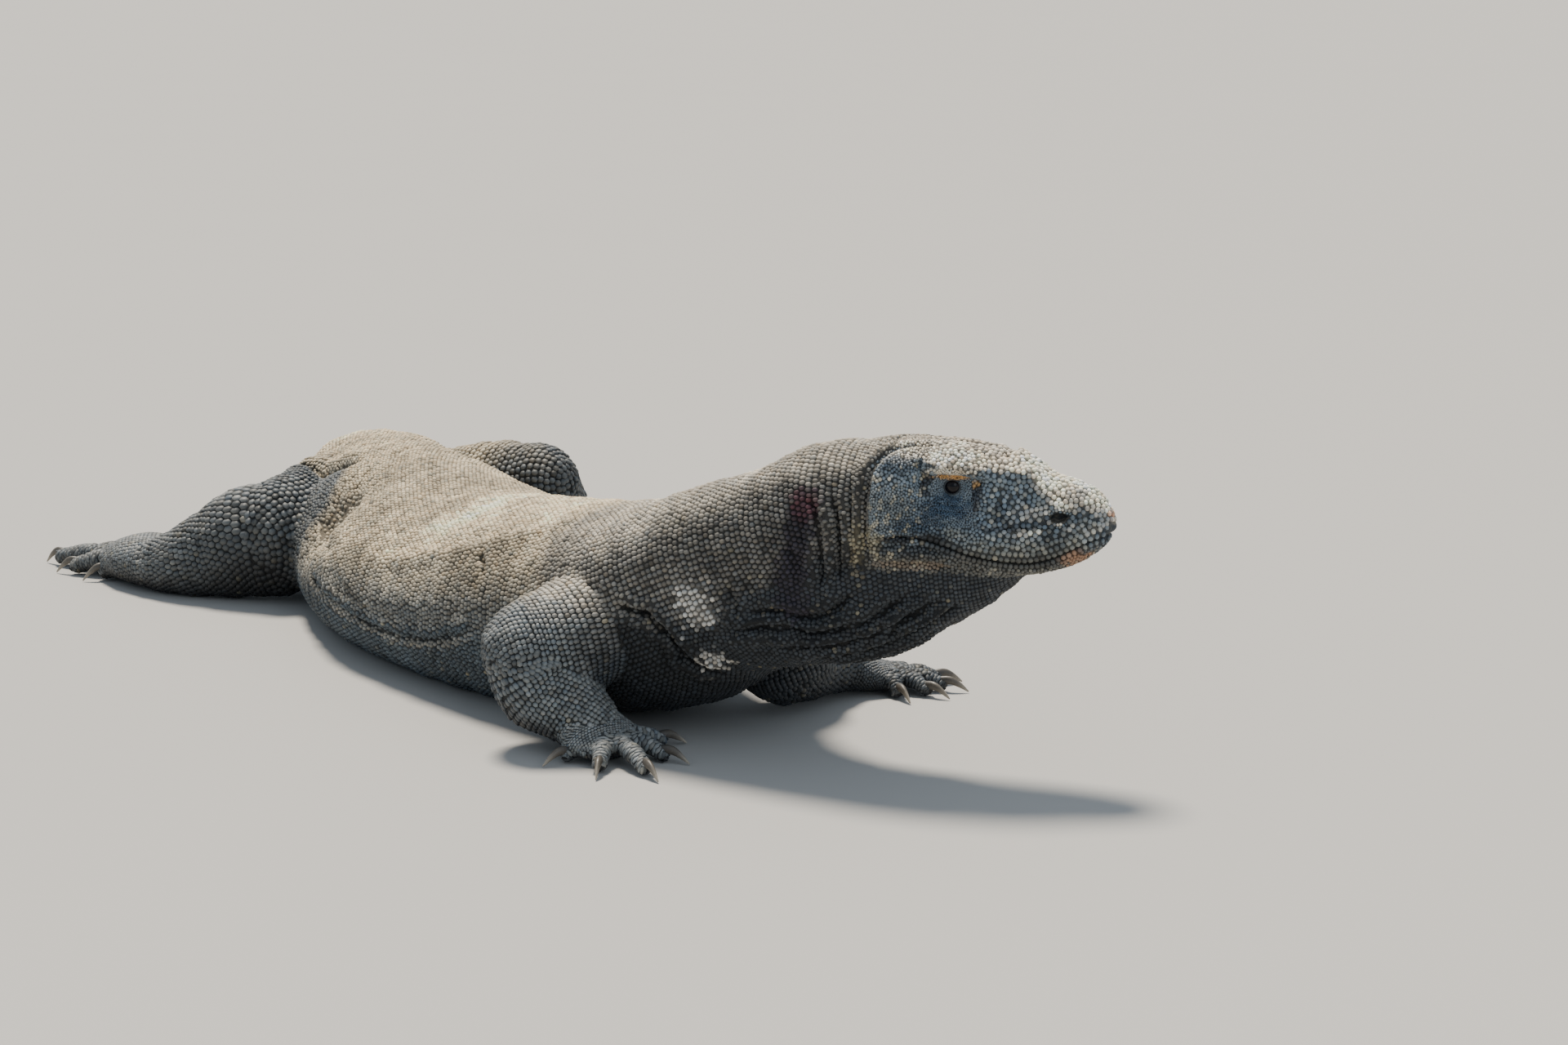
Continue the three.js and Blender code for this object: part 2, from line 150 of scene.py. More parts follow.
# The head: distance along it, then how far out and how high each rail runs, from the crown round to the chin.
headPlace, headYaw = np.array([410, -645, 265]) * mm, math.radians(-13)
headRows = [
    (-12, (0, 64), (38, 52), (56, 30), (64, -6), (62, -30), (50, -50), (0, -55)),
    (20, (0, 71), (42, 59), (59, 34), (67, -6), (64, -26), (50, -53), (0, -58)),
    (60, (0, 72), (40, 63), (51, 36), (61, -8), (59, -23), (46, -54), (0, -59)),
    (92, (0, 70), (39, 63), (42, 34), (56, -10), (56, -29), (42, -55), (0, -59)),
    (125, (0, 66), (34, 57), (41, 31), (51, -14), (50, -37), (37, -55), (0, -58)),
    (155, (0, 60), (30, 50), (38, 28), (46, -16), (45, -40), (33, -54), (0, -57)),
    (183, (0, 42), (28, 34), (36, 20), (42, -14), (40, -36), (29, -50), (0, -53)),
    (207, (0, 35), (26, 27), (33, 13), (37, -12), (34, -29), (24, -43), (0, -46)),
    (226, (0, 26), (20, 17), (26, 4), (28, -11), (26, -21), (16, -32), (0, -35)),
    (238, (0, 11), (10, 6), (14, 0), (15, -8), (13, -14), (8, -20), (0, -22)),
    (243, (0, -2), (3, -4), (4, -6), (4, -8), (4, -10), (3, -12), (0, -13)),
]
mouthLine = np.array([
    (2, -34), (16, -24), (34, -17), (58, -18), (84, -25), (112, -35), (150, -41), (178, -39), (203, -29),
    (224, -19), (252, -14)]) * mm
eye = {  # its place on the head, how far the ball is set in, its radius, and the opening's tilt and squash
    "along": 0.089, "out": 0.0355, "up": 0.031, "set": 0.0010, "ball": 0.0095, "tilt": (0.98, 0.17), "squash": 1.10,
}
nostril = {  # a tilted slit; the skin has more points round its middle
    "along": 0.193, "up": 0.0045, "middle": 0.006, "tilt": (0.98, 0.17), "stretch": 1.9, "fineAt": (0.192, 0.013),
}


def headToFloor(p):
    # turned about the upright axis by the head's yaw, then moved to the nape
    c, s = math.cos(headYaw), math.sin(headYaw)
    return p @ np.array([[c, s, 0], [-s, c, 0], [0, 0, 1]]) + headPlace


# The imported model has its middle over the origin, so everything moves by what its eye has moved.
eyeLow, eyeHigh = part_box("eye_right")
shift = (np.array(eyeLow) + np.array(eyeHigh)) / 2 - headToFloor(
    np.array([eye["along"], -eye["out"], eye["up"]]))


def toHead(p):
    # the inverse of headToFloor, for points of the model
    c, s = math.cos(headYaw), math.sin(headYaw)
    return (p - shift - headPlace) @ np.array([[c, -s, 0], [s, c, 0], [0, 0, 1]])


# ================= surfaces of two parameters =================

def tubeOf(rows):
    # centre line, sizes and shape powers of a tube from its rows
    deep = [row + row[4:5] if len(row) == 5 else row for row in rows]
    a = np.array([row + (2, 2) if len(row) == 6 else row for row in deep], float)
    return {"centre": a[:, :3] * mm + shift, "size": a[:, 3:6] * mm, "bend": a[:, 6:8]}


def powered(value, power):
    # the power of the value's size, with the value's sign
    return np.sign(value) * np.abs(value) ** power


def onTube(tube, place, turn, grow=0.0, scale=1.0, push=0.0):
    # The section's centre, plus its side times |cos turn|^(2/p) of the half width, plus its top direction times
    # |sin turn|^(2/p) of the height or depth. Push moves it along the line by that share of the half width.
    centre = splineAt(tube["centre"], place)
    ahead = unit(splineAt(tube["centre"], place + 1e-3) - splineAt(tube["centre"], place - 1e-3))
    side = unit(np.stack([-ahead[..., 1], ahead[..., 0], np.zeros(ahead.shape[:-1])], -1))
    above = np.cross(ahead, side)
    size = splineAt(tube["size"], place) + grow
    bend = splineAt(tube["bend"], place)
    isBack = np.sin(turn) > 0
    power = 2 / np.where(isBack, bend[..., 0], bend[..., 1])
    across = powered(np.cos(turn), power) * size[..., 0] * scale
    rise = powered(np.sin(turn), power) * np.where(isBack, size[..., 1], size[..., 2]) * scale
    reach = push * np.minimum(size[..., 0], size[..., 1])
    p = centre + side * across[..., None] + above * rise[..., None] + ahead * np.asarray(reach)[..., None]
    return p, ahead


def headRails(place):
    # the twelve points of the head's outline at each place along it, left cheek first, over the crown
    out = []
    for rail, hand in ((4, 1), (3, 1), (2, 1), (1, 1), (2, -1), (3, -1), (4, -1), (5, -1), (6, -1), (7, 1),
                       (6, 1), (5, 1)):
        line = np.array([(r[0], r[rail][0] * hand, r[rail][1]) for r in headRows]) * mm
        out.append(splineAt(line, place))
    return np.stack(out, -2)


def onHead(place, turn, grow=0.0):
    # A closed cubic through the twelve outline points, as far round as the turn's share of a full circle.
    rails = headRails(place)
    outward = unit(rails * [0, 1, 1] + [0, 0, 0.008])
    rails = rails + outward * grow
    count = rails.shape[1]
    share = (turn / (2 * np.pi)) % 1 * count
    whole = np.floor(share).astype(int)
    rows = np.arange(len(place))
    a, b, c, d = (rails[rows, (whole + k) % count] for k in (-1, 0, 1, 2))
    return headToFloor(cubic(a, b, c, d, (share - whole)[:, None])) + shift


def gridTriangles(rows, around):
    # two triangles for each cell of a tube's grid, and a fan to one point at each end, all facing outwards
    r, c = np.meshgrid(np.arange(rows - 1), np.arange(around), indexing="ij")
    r, c = r.ravel(), c.ravel()
    n = (c + 1) % around
    cells = np.concatenate([np.stack([r * around + c, r * around + n, (r + 1) * around + n], 1),
                            np.stack([r * around + c, (r + 1) * around + n, (r + 1) * around + c], 1)])
    k = np.arange(around)
    top, first, last = (rows - 1) * around, rows * around, rows * around + 1
    fans = np.concatenate([np.stack([k * 0 + first, (k + 1) % around, k], 1),
                           np.stack([k * 0 + last, top + k, top + (k + 1) % around], 1)])
    return np.concatenate([cells, fans])


def closedGrid(points):
    # rows of points round a tube, with a middle point for each end
    rows, around = points.shape[:2]
    ends = [points[0].mean(0), points[-1].mean(0)]
    return np.vstack([points.reshape(-1, 3), ends]), gridTriangles(rows, around)


capAngles = np.radians([14, 28, 42, 56, 70, 80])  # of the rings on a rounded end, from its tip


def tubeSurface(tube, rings, around, roundEnds, grow):
    # the grid of a tube, whose rounded ends are rings at sin and cos of growing angles
    last, caps = len(tube["centre"]) - 1, len(capAngles)
    place, scale, push = np.linspace(0, last, rings), np.ones(rings), np.zeros(rings)
    if roundEnds[0]:
        place, scale, push = (np.r_[np.zeros(caps), place], np.r_[np.sin(capAngles), scale],
                              np.r_[-np.cos(capAngles), push])
    if roundEnds[1]:
        back = capAngles[::-1]
        place, scale, push = (np.r_[place, np.full(caps, last)], np.r_[scale, np.sin(back)],
                              np.r_[push, np.cos(back)])
    turn = np.linspace(0, 2 * np.pi, around, endpoint=False)
    rows = len(place)
    grid = lambda a: np.repeat(a[:, None], around, 1)
    p, _ = onTube(tube, grid(place), np.repeat(turn[None], rows, 0), grow, grid(scale), grid(push))
    return closedGrid(p)


def newMesh(name, points, faces, smooth=True):
    # a mesh object of triangles or quads, linked to the scene
    mesh = bpy.data.meshes.new(name)
    mesh.vertices.add(len(points))
    mesh.vertices.foreach_set("co", np.asarray(points, np.float32).ravel())
    sides = faces.shape[1]
    mesh.loops.add(faces.size)
    mesh.loops.foreach_set("vertex_index", faces.astype(np.int32).ravel())
    mesh.polygons.add(len(faces))
    mesh.polygons.foreach_set("loop_start", np.arange(0, faces.size, sides, dtype=np.int32))
    mesh.update(calc_edges=True)
    mesh.polygons.foreach_set("use_smooth", np.full(len(faces), smooth))
    made = bpy.data.objects.new(name, mesh)
    bpy.context.scene.collection.objects.link(made)
    return made


# ================= the pieces of flesh that the skin wraps =================

coatDepth = 1.5 * mm  # the skin lies this far inside the solids, and the scales fill it


def toeRows(toes, length, way):
    # out of the palm low, over the knuckle and down on the pad, with a pad and a joint swelling in between
    root, radius = np.array(toes["root"], float), toes["radius"]
    rows = []
    for share, high, r in ((0, root[2], 0.9), (0.2, radius + 5, 0.93), (0.35, radius + 8, 1.04),
                           (0.5, radius + 7, 0.93), (0.68, radius + 6, 1.0), (0.82, radius + 3, 0.88),
                           (1, radius * 0.82, 0.8)):
        p = root + way * length * share
        rows.append((p[0], p[1], high, radius * r, radius * r * 0.95))
    return rows


def heading(angle):
    # the level direction at an angle in degrees
    return np.array([math.cos(math.radians(angle)), math.sin(math.radians(angle)), 0])


flesh = []  # the tubes that the skin wraps


def addTube(name, part, rows, rings, around, roundEnds, coat, strip=(0, 1)):
    # Part is the kind of flesh, coat the coat of scales that it wears, and strip the share of that coat's unwrap.
    flesh.append({"name": name, "part": part, "tube": tubeOf(rows), "rings": rings, "around": around,
                  "roundEnds": roundEnds, "coat": coat, "strip": strip})


addTube("spine", "spine", spineRows, 420, 96, (False, True), "spine")
addTube("throat", "throat", throatRows, 60, 64, (False, False), "throat")
for limb, data in limbRows.items():
    addTube(limb + "_upper", "upper", data["upper"], 40, 56, (False, True), limb, (0.0, 0.3))
    addTube(limb + "_lower", "lower", data["lower"], 40, 48, (True, True), limb, (0.3, 0.6))
    addTube(limb + "_palm", "palm", data["palm"], 24, 40, (True, True), limb, (0.6, 0.75))
    for i, (length, turn) in enumerate(zip(data["lengths"], data["turns"])):
        rows = toeRows(data["toes"], length, heading(data["toes"]["heading"] + turn))
        addTube(limb + f"_toe_{i + 1}", "toe", rows, 36, 24, (False, True), limb, (0.75 + 0.05 * i, 0.8 + 0.05 * i))

allPoints, allFaces, faceOwner = [], [], []
start = 0
for number, piece in enumerate(flesh):
    points, faces = tubeSurface(piece["tube"], piece["rings"], piece["around"], piece["roundEnds"], -coatDepth)
    allPoints.append(points)
    allFaces.append(faces + start)
    faceOwner.append(np.full(len(faces), number))
    start += len(points)

headRings, headFacets = 90, 120
u, v = (a.ravel() for a in np.meshgrid(np.linspace(0, len(headRows) - 1, headRings), np.linspace(
    0, 2 * np.pi, headFacets, endpoint=False), indexing="ij"))
headPoints, headFaces = closedGrid(onHead(u, v, -coatDepth).reshape(headRings, headFacets, 3))
allPoints.append(headPoints)
allFaces.append(headFaces + start)
faceOwner.append(np.full(len(headFaces), len(flesh)))
flesh.append({"name": "head", "part": "head"})
allPoints, allFaces, faceOwner = np.vstack(allPoints), np.vstack(allFaces), np.concatenate(faceOwner)
allPoints[:, 2] = np.maximum(allPoints[:, 2], 0.0)
ownerTree = BVHTree.FromPolygons(allPoints.tolist(), allFaces.tolist(), all_triangles=True)
ownerByName = {piece["name"]: i for i, piece in enumerate(flesh)}
partOf = np.array([piece["part"] for piece in flesh])
print("flesh:", len(flesh), "pieces,", len(allFaces), "triangles")


def ownersAt(points):
    # the piece of flesh whose surface is nearest to each point
    return faceOwner[[ownerTree.find_nearest(p)[2] for p in points.tolist()]]


# ================= one skin =================

skinLook = {
    "voxel": 0.0032, "faces": 112000,  # faces before the head gets its finer ones
    "rounds": 46, "sink": 0.25, "level": 0.4,  # of filling: how much points may sink, and slide sideways
    "fill": {"head": 0.12, "toe": 0.06, "palm": 0.22, "leg": 0.5, "rest": 0.9},
}


def meshArrays(mesh):
    # a mesh's points and its triangles as arrays
    points = np.empty(len(mesh.vertices) * 3, np.float32)
    mesh.vertices.foreach_get("co", points)
    mesh.calc_loop_triangles()
    faces = np.empty(len(mesh.loop_triangles) * 3, np.int32)
    mesh.loop_triangles.foreach_get("vertices", faces)
    return points.reshape(-1, 3).astype(float), faces.reshape(-1, 3)


def applied(thing):
    # the object's mesh with its modifiers worked in
    graph = bpy.context.evaluated_depsgraph_get()
    mesh = bpy.data.meshes.new_from_object(thing.evaluated_get(graph))
    old = thing.data
    thing.modifiers.clear()
    thing.data = mesh
    bpy.data.meshes.remove(old)
    return thing


def pointNormals(points, faces):
    # each face's cross product added up at its corners, made one long
    a, b, c = (points[faces[:, k]] for k in range(3))
    cross = np.cross(b - a, c - a)
    total = np.zeros_like(points)
    for axis in range(3):
        total[:, axis] = sum(np.bincount(faces[:, k], cross[:, axis], len(points)) for k in range(3))
    return unit(total)


def edgesOf(faces):
    # every pair of neighbouring points once
    pairs = np.sort(np.vstack([faces[:, [0, 1]], faces[:, [1, 2]], faces[:, [2, 0]]]), 1)
    return np.unique(pairs, axis=0)


def averageOf(values, edges, count):
    # the mean of each point's neighbours
    i, j = edges.T
    degree = np.bincount(i, minlength=count) + np.bincount(j, minlength=count)
    total = np.stack([np.bincount(i, values[j, k], count) + np.bincount(j, values[i, k], count)
                      for k in range(values.shape[1])], 1)
    return total / np.maximum(degree, 1)[:, None]


raw = newMesh("skin_raw", allPoints, allFaces)
remesh = raw.modifiers.new("wrap", "REMESH")
remesh.mode = "VOXEL"
remesh.voxel_size = skinLook["voxel"]
applied(raw)
skinPoints, skinFaces = meshArrays(raw.data)
print("wrapped:", len(skinPoints), "points")

# Creases between the pieces fill up: each point moves by the outward part of the way to its neighbours' mean,
# and only a little inwards, which leaves the crests nearly where they were.
owners = ownersAt(skinPoints)
parts = partOf[owners]
isLeg = np.char.startswith(np.array([piece["name"] for piece in flesh])[owners], "leg")
fill = skinLook["fill"]
fillShare = np.select([parts == "head", parts == "toe", parts == "palm", isLeg],
                      [fill["head"], fill["toe"], fill["palm"], fill["leg"]], fill["rest"])
edges = edgesOf(skinFaces)
for step in range(skinLook["rounds"]):
    if step % 4 == 0:
        normals = pointNormals(skinPoints, skinFaces)
    towards = averageOf(skinPoints, edges, len(skinPoints)) - skinPoints
    out = (towards * normals).sum(1)
    level = towards - normals * out[:, None]
    rise = np.maximum(out, 0) + skinLook["sink"] * np.minimum(out, 0)
    move = normals * rise[:, None] + skinLook["level"] * level
    skinPoints = skinPoints + move * fillShare[:, None]
print("filled")


# ---- folds of loose skin on both sides of the body: lines on a tube as (place, turn in degrees; 0 is the right
# side, 90 the back, -90 the belly), then width, depth and raised lips in mm ----
folds = [
    ("spine", [(0.60, 40), (0.58, 12), (0.58, -8), (0.62, -30), (0.80, -52)], 3.6, 5.0, 3.2),
    ("spine", [(0.84, 26), (0.76, 4), (0.76, -14), (0.84, -36), (1.05, -56)], 4.2, 6.5, 4.0),
    ("spine", [(1.06, 22), (0.98, 4), (1.02, -20), (1.14, -40), (1.36, -58)], 4.4, 5.6, 4.0),
    ("spine", [(1.42, -6), (1.44, -26), (1.60, -48)], 6, 3.4, 2.6),
    ("spine", [(2.34, -24), (2.38, -38), (2.50, -52)], 4.5, 4.0, 2.6),
    ("spine", [(3.70, -9), (3.55, -13), (3.35, -22), (3.31, -34), (3.35, -50), (3.36, -64), (3.3, -78)],
     5.0, 10, 6.5),  # the apron of neck skin that hangs over the shoulder
    ("spine", [(5.62, 36), (5.46, 30), (5.40, 22)], 4, 4.5, 2),
    ("spine", [(8.3, 12), (8.06, 2), (7.91, -1), (7.61, -3), (7.12, -8), (6.77, -12), (6.44, -14), (6.0, -12),
               (5.6, -8), (5.3, -2)], 4.6, 4.2, 3.4),  # along the belly
    ("spine", [(8.9, 30), (8.2, 24), (7.4, 20)], 8, 2.5, 2),
    ("spine", [(7.4, 22), (6.6, 28), (5.9, 36), (5.3, 48), (4.9, 60)], 13, -4.5, 0),  # ridge along the ribs
    ("throat", [(4.5, -12), (4.1, -14), (3.79, -21), (3.51, -17), (3.27, -11), (3.06, -3)], 4.6, 8.5, 5.5),
    ("throat", [(4.9, -26), (4.5, -25), (4.06, -25), (3.69, -32), (3.00, -28), (2.65, -18), (2.3, -8)],
     5.0, 8.5, 5.5),
    ("throat", [(4.4, -44), (3.94, -46), (3.42, -44), (2.71, -36), (2.19, -28), (1.7, -22)], 5.0, 8.0, 5.2),
    ("throat", [(4.0, -58), (3.4, -58), (2.7, -50), (2.0, -42), (1.4, -36)], 4.2, 5.0, 3.4),
    ("throat", [(3.6, -74), (2.8, -70), (2.0, -62)], 4, 4, 3),
]
swellings = [  # muscle and bone under the skin of both sides, and before the right thigh one hollow: place on the
    # tube, turn, radius and height in mm
    ("spine", 8.42, 35, 60, -32),
    ("spine", 4.1, 30, 50, 5), ("spine", 4.0, -8, 36, 4), ("spine", 7.4, 14, 60, 5), ("spine", 8.6, 40, 70, 4),
    ("spine", 2.75, -36, 34, 5), ("throat", 4.6, -40, 30, 5), ("spine", 11.2, 40, 30, 4),
    ("throat", 3.6, 2, 22, 5),
]
thighCrease = {  # the flank's skin hangs over the thigh where this plane cuts it: sizes in mm
    "at": (-250, 128, 157), "way": (-0.749, -0.633, 0.197),  # a point of the plane, and its way towards the knee
    "middle": (-246, 100, 120), "reach": 76, "depth": 9, "lip": 4,
}


def pastThighCrease(points):
    # how far each point lies on the knee's side of the plane
    return (points - shift - np.array(thighCrease["at"]) * mm) @ np.array(thighCrease["way"])


def nearLine(points, line):
    # distance of each point to a broken line, and the share of the line before the nearest place on it
    best, share = np.full(len(points), 9.0), np.zeros(len(points))
    for i in range(len(line) - 1):
        ahead = line[i + 1] - line[i]
        s = np.clip(((points - line[i]) @ ahead) / (ahead @ ahead), 0, 1)
        away = np.linalg.norm(points - line[i] - s[:, None] * ahead, axis=1)
        share = np.where(away < best, (i + s) / (len(line) - 1), share)
        best = np.minimum(best, away)
    return best, share


def onBothSides(line):
    # a line of (place, turn in degrees) drawn fine, with its turn in radians, and then its mirror image
    bends = np.array(line, float)
    for turns in (bends[:, 1], 180 - bends[:, 1]):
        yield splineAt(np.stack([bends[:, 0], np.radians(turns)], 1), np.linspace(0, len(line) - 1, 40))


def foldHeight(away, share, width, depth, lip):
    # A groove e^-(d/w)^2 deep, with lips two widths to each side, fading at both ends of its line.
    fade = smoothStep(0, 0.2, share) * smoothStep(1, 0.8, share)
    return fade * (lip * bell(away, 2.1 * width, width) - depth * bell(away, 0, width))


raised = np.zeros(len(skinPoints))
normals = pointNormals(skinPoints, skinFaces)
skinHit = BVHTree.FromPolygons(skinPoints.tolist(), skinFaces.tolist(), all_triangles=True)
for name, line, width, depth, lip in folds:
    tube = flesh[ownerByName[name]]["tube"]
    for fine in onBothSides(line):
        path, _ = onTube(tube, fine[:, 0], fine[:, 1])
        path = np.array([skinHit.find_nearest(q)[0] for q in path.tolist()])  # the tube's line, put on the skin
        close = np.flatnonzero(((skinPoints > path.min(0) - 0.04) & (skinPoints < path.max(0) + 0.04)).all(1))
        away, share = nearLine(skinPoints[close], path)
        away = np.abs(away + 0.0022 * waves(skinPoints[close], 0.03, 13) * smoothStep(0, 0.008, away))
        raised[close] += foldHeight(away, share, width * mm, depth * mm, lip * mm)
for name, place, turn, radius, height in swellings:
    tube = flesh[ownerByName[name]]["tube"]
    for angle in (turn, 180 - turn) if height > 0 else (turn,):
        middle, _ = onTube(tube, np.array([place]), np.radians([angle]))
        raised += height * mm * np.exp(-((np.linalg.norm(skinPoints - middle, axis=1) / (radius * mm)) ** 2))
seams = {"leg_left": 5.0, "arm_right": 3.5, "arm_left": 3.5}  # how deep a limb is parted off, mm
seam = {"width": 0.008, "reach": 0.20, "fade": (0.05, 0.02)}  # metres; the fade is by distance from the limb


def treeOf(names):
    # search tree over the bare surfaces of some pieces
    chosen = np.isin(faceOwner, [ownerByName[name] for name in names])
    return BVHTree.FromPolygons(allPoints.tolist(), allFaces[chosen].tolist(), all_triangles=True)


trunkTree = treeOf(["spine"])
for limb, depth in seams.items():
    # a groove along the places as far from the trunk as from the limb
    limbTree = treeOf([limb + "_upper", limb + "_lower"])
    rows = np.array(limbRows[limb]["upper"], float)[:, :3] * mm + shift
    isNear = np.linalg.norm(skinPoints - rows.mean(0), axis=1) < seam["reach"]
    close = np.flatnonzero(isNear & (parts != "palm"))
    found = [(trunkTree.find_nearest(q)[3], limbTree.find_nearest(q)[3]) for q in skinPoints[close].tolist()]
    toTrunk, toLimb = np.array(found).T
    raised[close] -= depth * mm * bell(toTrunk - toLimb, 0, seam["width"]) * smoothStep(*seam["fade"], toLimb) * (
        1 - 0.25 * np.abs(waves(skinPoints[close], 0.05, 12)))
past = pastThighCrease(skinPoints)
fromMiddle = np.linalg.norm(skinPoints - shift - np.array(thighCrease["middle"]) * mm, axis=1)
byCrease = smoothStep(1.35, 0.9, fromMiddle / (thighCrease["reach"] * mm)) * (skinPoints[:, 2] > 0.03)
raised += byCrease * mm * (thighCrease["lip"] * bell(past, -0.011, 0.010)
                           - thighCrease["depth"] * bell(past, 0.003, 0.006))
loose = np.select([parts == "head", parts == "toe", parts == "palm"], [0.0, 0.1, 0.3], 1.0)
raised += loose * (0.9 * mm * waves(skinPoints, 0.045, 3) + 0.5 * mm * waves(skinPoints, 0.018, 4))
skinPoints = skinPoints + normals * raised[:, None]
skinPoints[:, 2] = np.maximum(skinPoints[:, 2], 0.0)

# Fewer faces where nothing fine happens, twice as many on the head, and more again round the eyes.
body = newMesh("skin_fewer", skinPoints, skinFaces)
group = body.vertex_groups.new(name="coarse")
local = toHead(skinPoints)
isHead = (local[:, 0] > 0) & (np.abs(local[:, 1]) < 0.075) & (local[:, 2] > -0.075) & (parts == "head")
group.add(np.flatnonzero(~isHead).tolist(), 1.0, "REPLACE")
fewer = body.modifiers.new("fewer", "DECIMATE")
fewer.ratio = skinLook["faces"] / len(skinFaces)
fewer.vertex_group = "coarse"
applied(body)
skinPoints, skinFaces = meshArrays(body.data)
bpy.data.objects.remove(body)
bpy.data.objects.remove(raw)


def splitWhere(points, faces, chosen):
    # Every edge between two chosen points gets a middle point. A face with three cut edges becomes four faces,
    # and one with a single cut edge becomes two.
    corners = np.stack([faces, np.roll(faces, -1, 1)], 2)
    keys = np.sort(corners, 2).astype(np.int64)
    code = keys[..., 0] * len(points) + keys[..., 1]
    unique, inverse = np.unique(code, return_inverse=True)
    ends = np.stack([unique // len(points), unique % len(points)], 1)
    cut = chosen[ends].all(1)
    number = np.full(len(unique), -1)
    number[cut] = len(points) + np.arange(cut.sum())
    middles = points[ends[cut]].mean(1)
    m = number[inverse.reshape(faces.shape)]
    found = (m >= 0).sum(1)
    all3, one, none = found == 3, found == 1, found == 0
    a, b, c = faces[all3].T
    ab, bc, ca = m[all3].T
    made = [np.stack(t, 1) for t in ((a, ab, ca), (ab, b, bc), (ca, bc, c), (ab, bc, ca))]
    turnBy = np.argmax(m[one] >= 0, 1)
    order = (turnBy[:, None] + np.arange(3)) % 3
    rolled = np.take_along_axis(faces[one], order, 1)
    middle = m[one].max(1)
    made += [np.stack([rolled[:, 0], middle, rolled[:, 2]], 1), np.stack([middle, rolled[:, 1], rolled[:, 2]], 1)]
    return np.vstack([points, middles]), np.vstack([faces[none]] + made)


def smoothedWhere(points, faces, chosen, rounds):
    # chosen points move half the way to their neighbours' mean, some rounds over
    edges = edgesOf(faces)
    for _ in range(rounds):
        points = points + (averageOf(points, edges, len(points)) - points) * (chosen * 0.5)[:, None]
    return points


def headZone(local):
    # the box of points in front of the nape
    return ((local[:, 0] > -0.004) & (np.abs(local[:, 1]) < 0.074) & (local[:, 2] > -0.072)
            & (local[:, 2] < 0.08))


skinPoints, skinFaces = splitWhere(skinPoints, skinFaces, headZone(toHead(skinPoints)))
skinPoints = smoothedWhere(skinPoints, skinFaces, headZone(toHead(skinPoints)), 3)
local = toHead(skinPoints)
nearEye = np.hypot(local[:, 0] - eye["along"], local[:, 2] - eye["up"]) < 0.022
fineAlong, fineReach = nostril["fineAt"]
nearNose = np.hypot(local[:, 0] - fineAlong, local[:, 2] - nostril["middle"]) < fineReach
fine = (nearEye & (np.abs(local[:, 1]) > 0.025)) | (nearNose & (np.abs(local[:, 1]) > 0.02))
skinPoints, skinFaces = splitWhere(skinPoints, skinFaces, fine)
print("skin:", len(skinPoints), "points,", len(skinFaces), "faces")

# ---- the head's own forms: lines in the head's side plane (along, high), then width, depth and lips in mm ----
headFolds = [
    ([(60, 62), (59, 50), (58, 38), (61, 24)], 3.4, 4.5, 1.2),  # pit behind the brow
    ([(120, 42), (115, 33), (109, 22), (104, 10)], 3.4, 4.6, 1.6),  # fold in front of the eye
    ([(72, 19), (80, 14.5), (92, 13), (102, 16)], 1.6, 1.5, 0.8),  # bag under the eye
    ([(66, 15), (78, 9), (92, 7), (105, 9)], 1.6, 1.4, 0.8),
    ([(98, 4), (80, 2), (60, -4), (40, -11)], 1.5, 1.4, 0.9),  # fine folds back from the eye to the mouth
    ([(96, -1), (78, -3), (60, -8), (44, -13)], 1.4, 1.3, 0.8),
    ([(82, 8), (66, 4), (50, -3), (34, -9)], 1.5, 1.3, 0.8),
    ([(188, -4), (165, -7), (138, -7), (106, -9)], 2.2, 2.4, 0.8),  # groove back from the nostril
    ([(14, -44), (40, -42), (70, -44), (100, -50)], 3.0, 1.5, 1.0),  # under the jaw
    ([(128, 34), (146, 27), (164, 18), (178, 11)], 6.0, 2.4, 0.6),  # under the ridge in front of the eye
    ([(20, -26), (40, -25), (62, -27), (88, -34)], 2.6, 3.0, 1.8),  # fold below the corner of the mouth
]
headSwellings = [  # along, high, how far along and high they reach, height in mm
    (34, 8, 20, 24, 6.0), (38, 52, 18, 10, 3.4), (150, 45, 30, 5.0, 3.4), (144, 14, 22, 13, -3.4),
    (192, 14, 11, 7, 2.6), (52, -36, 44, 6, 3.2), (130, -50, 60, 6, 1.4), (208, -10, 20, 8, 1.6),
    (88, 32, 26, 12, -5.5), (158, -20, 46, 7, 2.2),
]
headCreases = [  # (along, turn) round the head, then width, depth and lips in mm
    ([(80, 106), (62, 107), (42, 109), (26, 115), (16, 126), (11, 140), (9, 158), (9, 180), (9, 208),
      (13, 236)], 4.2, 7.5, 2.2),  # behind the head, from the crown down and round under the jaw
    ([(138, 66), (140, 90), (138, 114)], 5.0, 2.2, 0.6),  # step from the brows down to the snout
    ([(72, 90), (110, 90), (150, 90), (186, 90)], 5.0, 2.2, 1.0),  # between the two halves of the crown
]


def sideLine(points, line):
    # nearLine in the head's side plane alone, for a line of (along, high) in mm
    flat = np.stack([points[:, 0], points[:, 2]], 1)
    fine = splineAt(np.array(line, float) * mm, np.linspace(0, len(line) - 1, 26))
    return nearLine(flat, fine)


def mouthHeight(along):
    # height of the closed mouth at a distance along the head
    fine = splineAt(mouthLine, np.linspace(0, len(mouthLine) - 1, 200))
    return np.interp(along, fine[:, 0], fine[:, 1])


def tilted(along, up, look):
    # along and up turned in the head's side plane by a look's tilt, given as its cosine and sine
    c, s = look["tilt"]
    return along * c + up * s, up * c - along * s


def fromOpening(local):
    # distance from the middle of the eye's opening, an ellipse squashed in height
    wide, high = tilted(local[:, 0] - eye["along"], local[:, 2] - eye["up"], eye)
    return np.hypot(wide, high * eye["squash"])


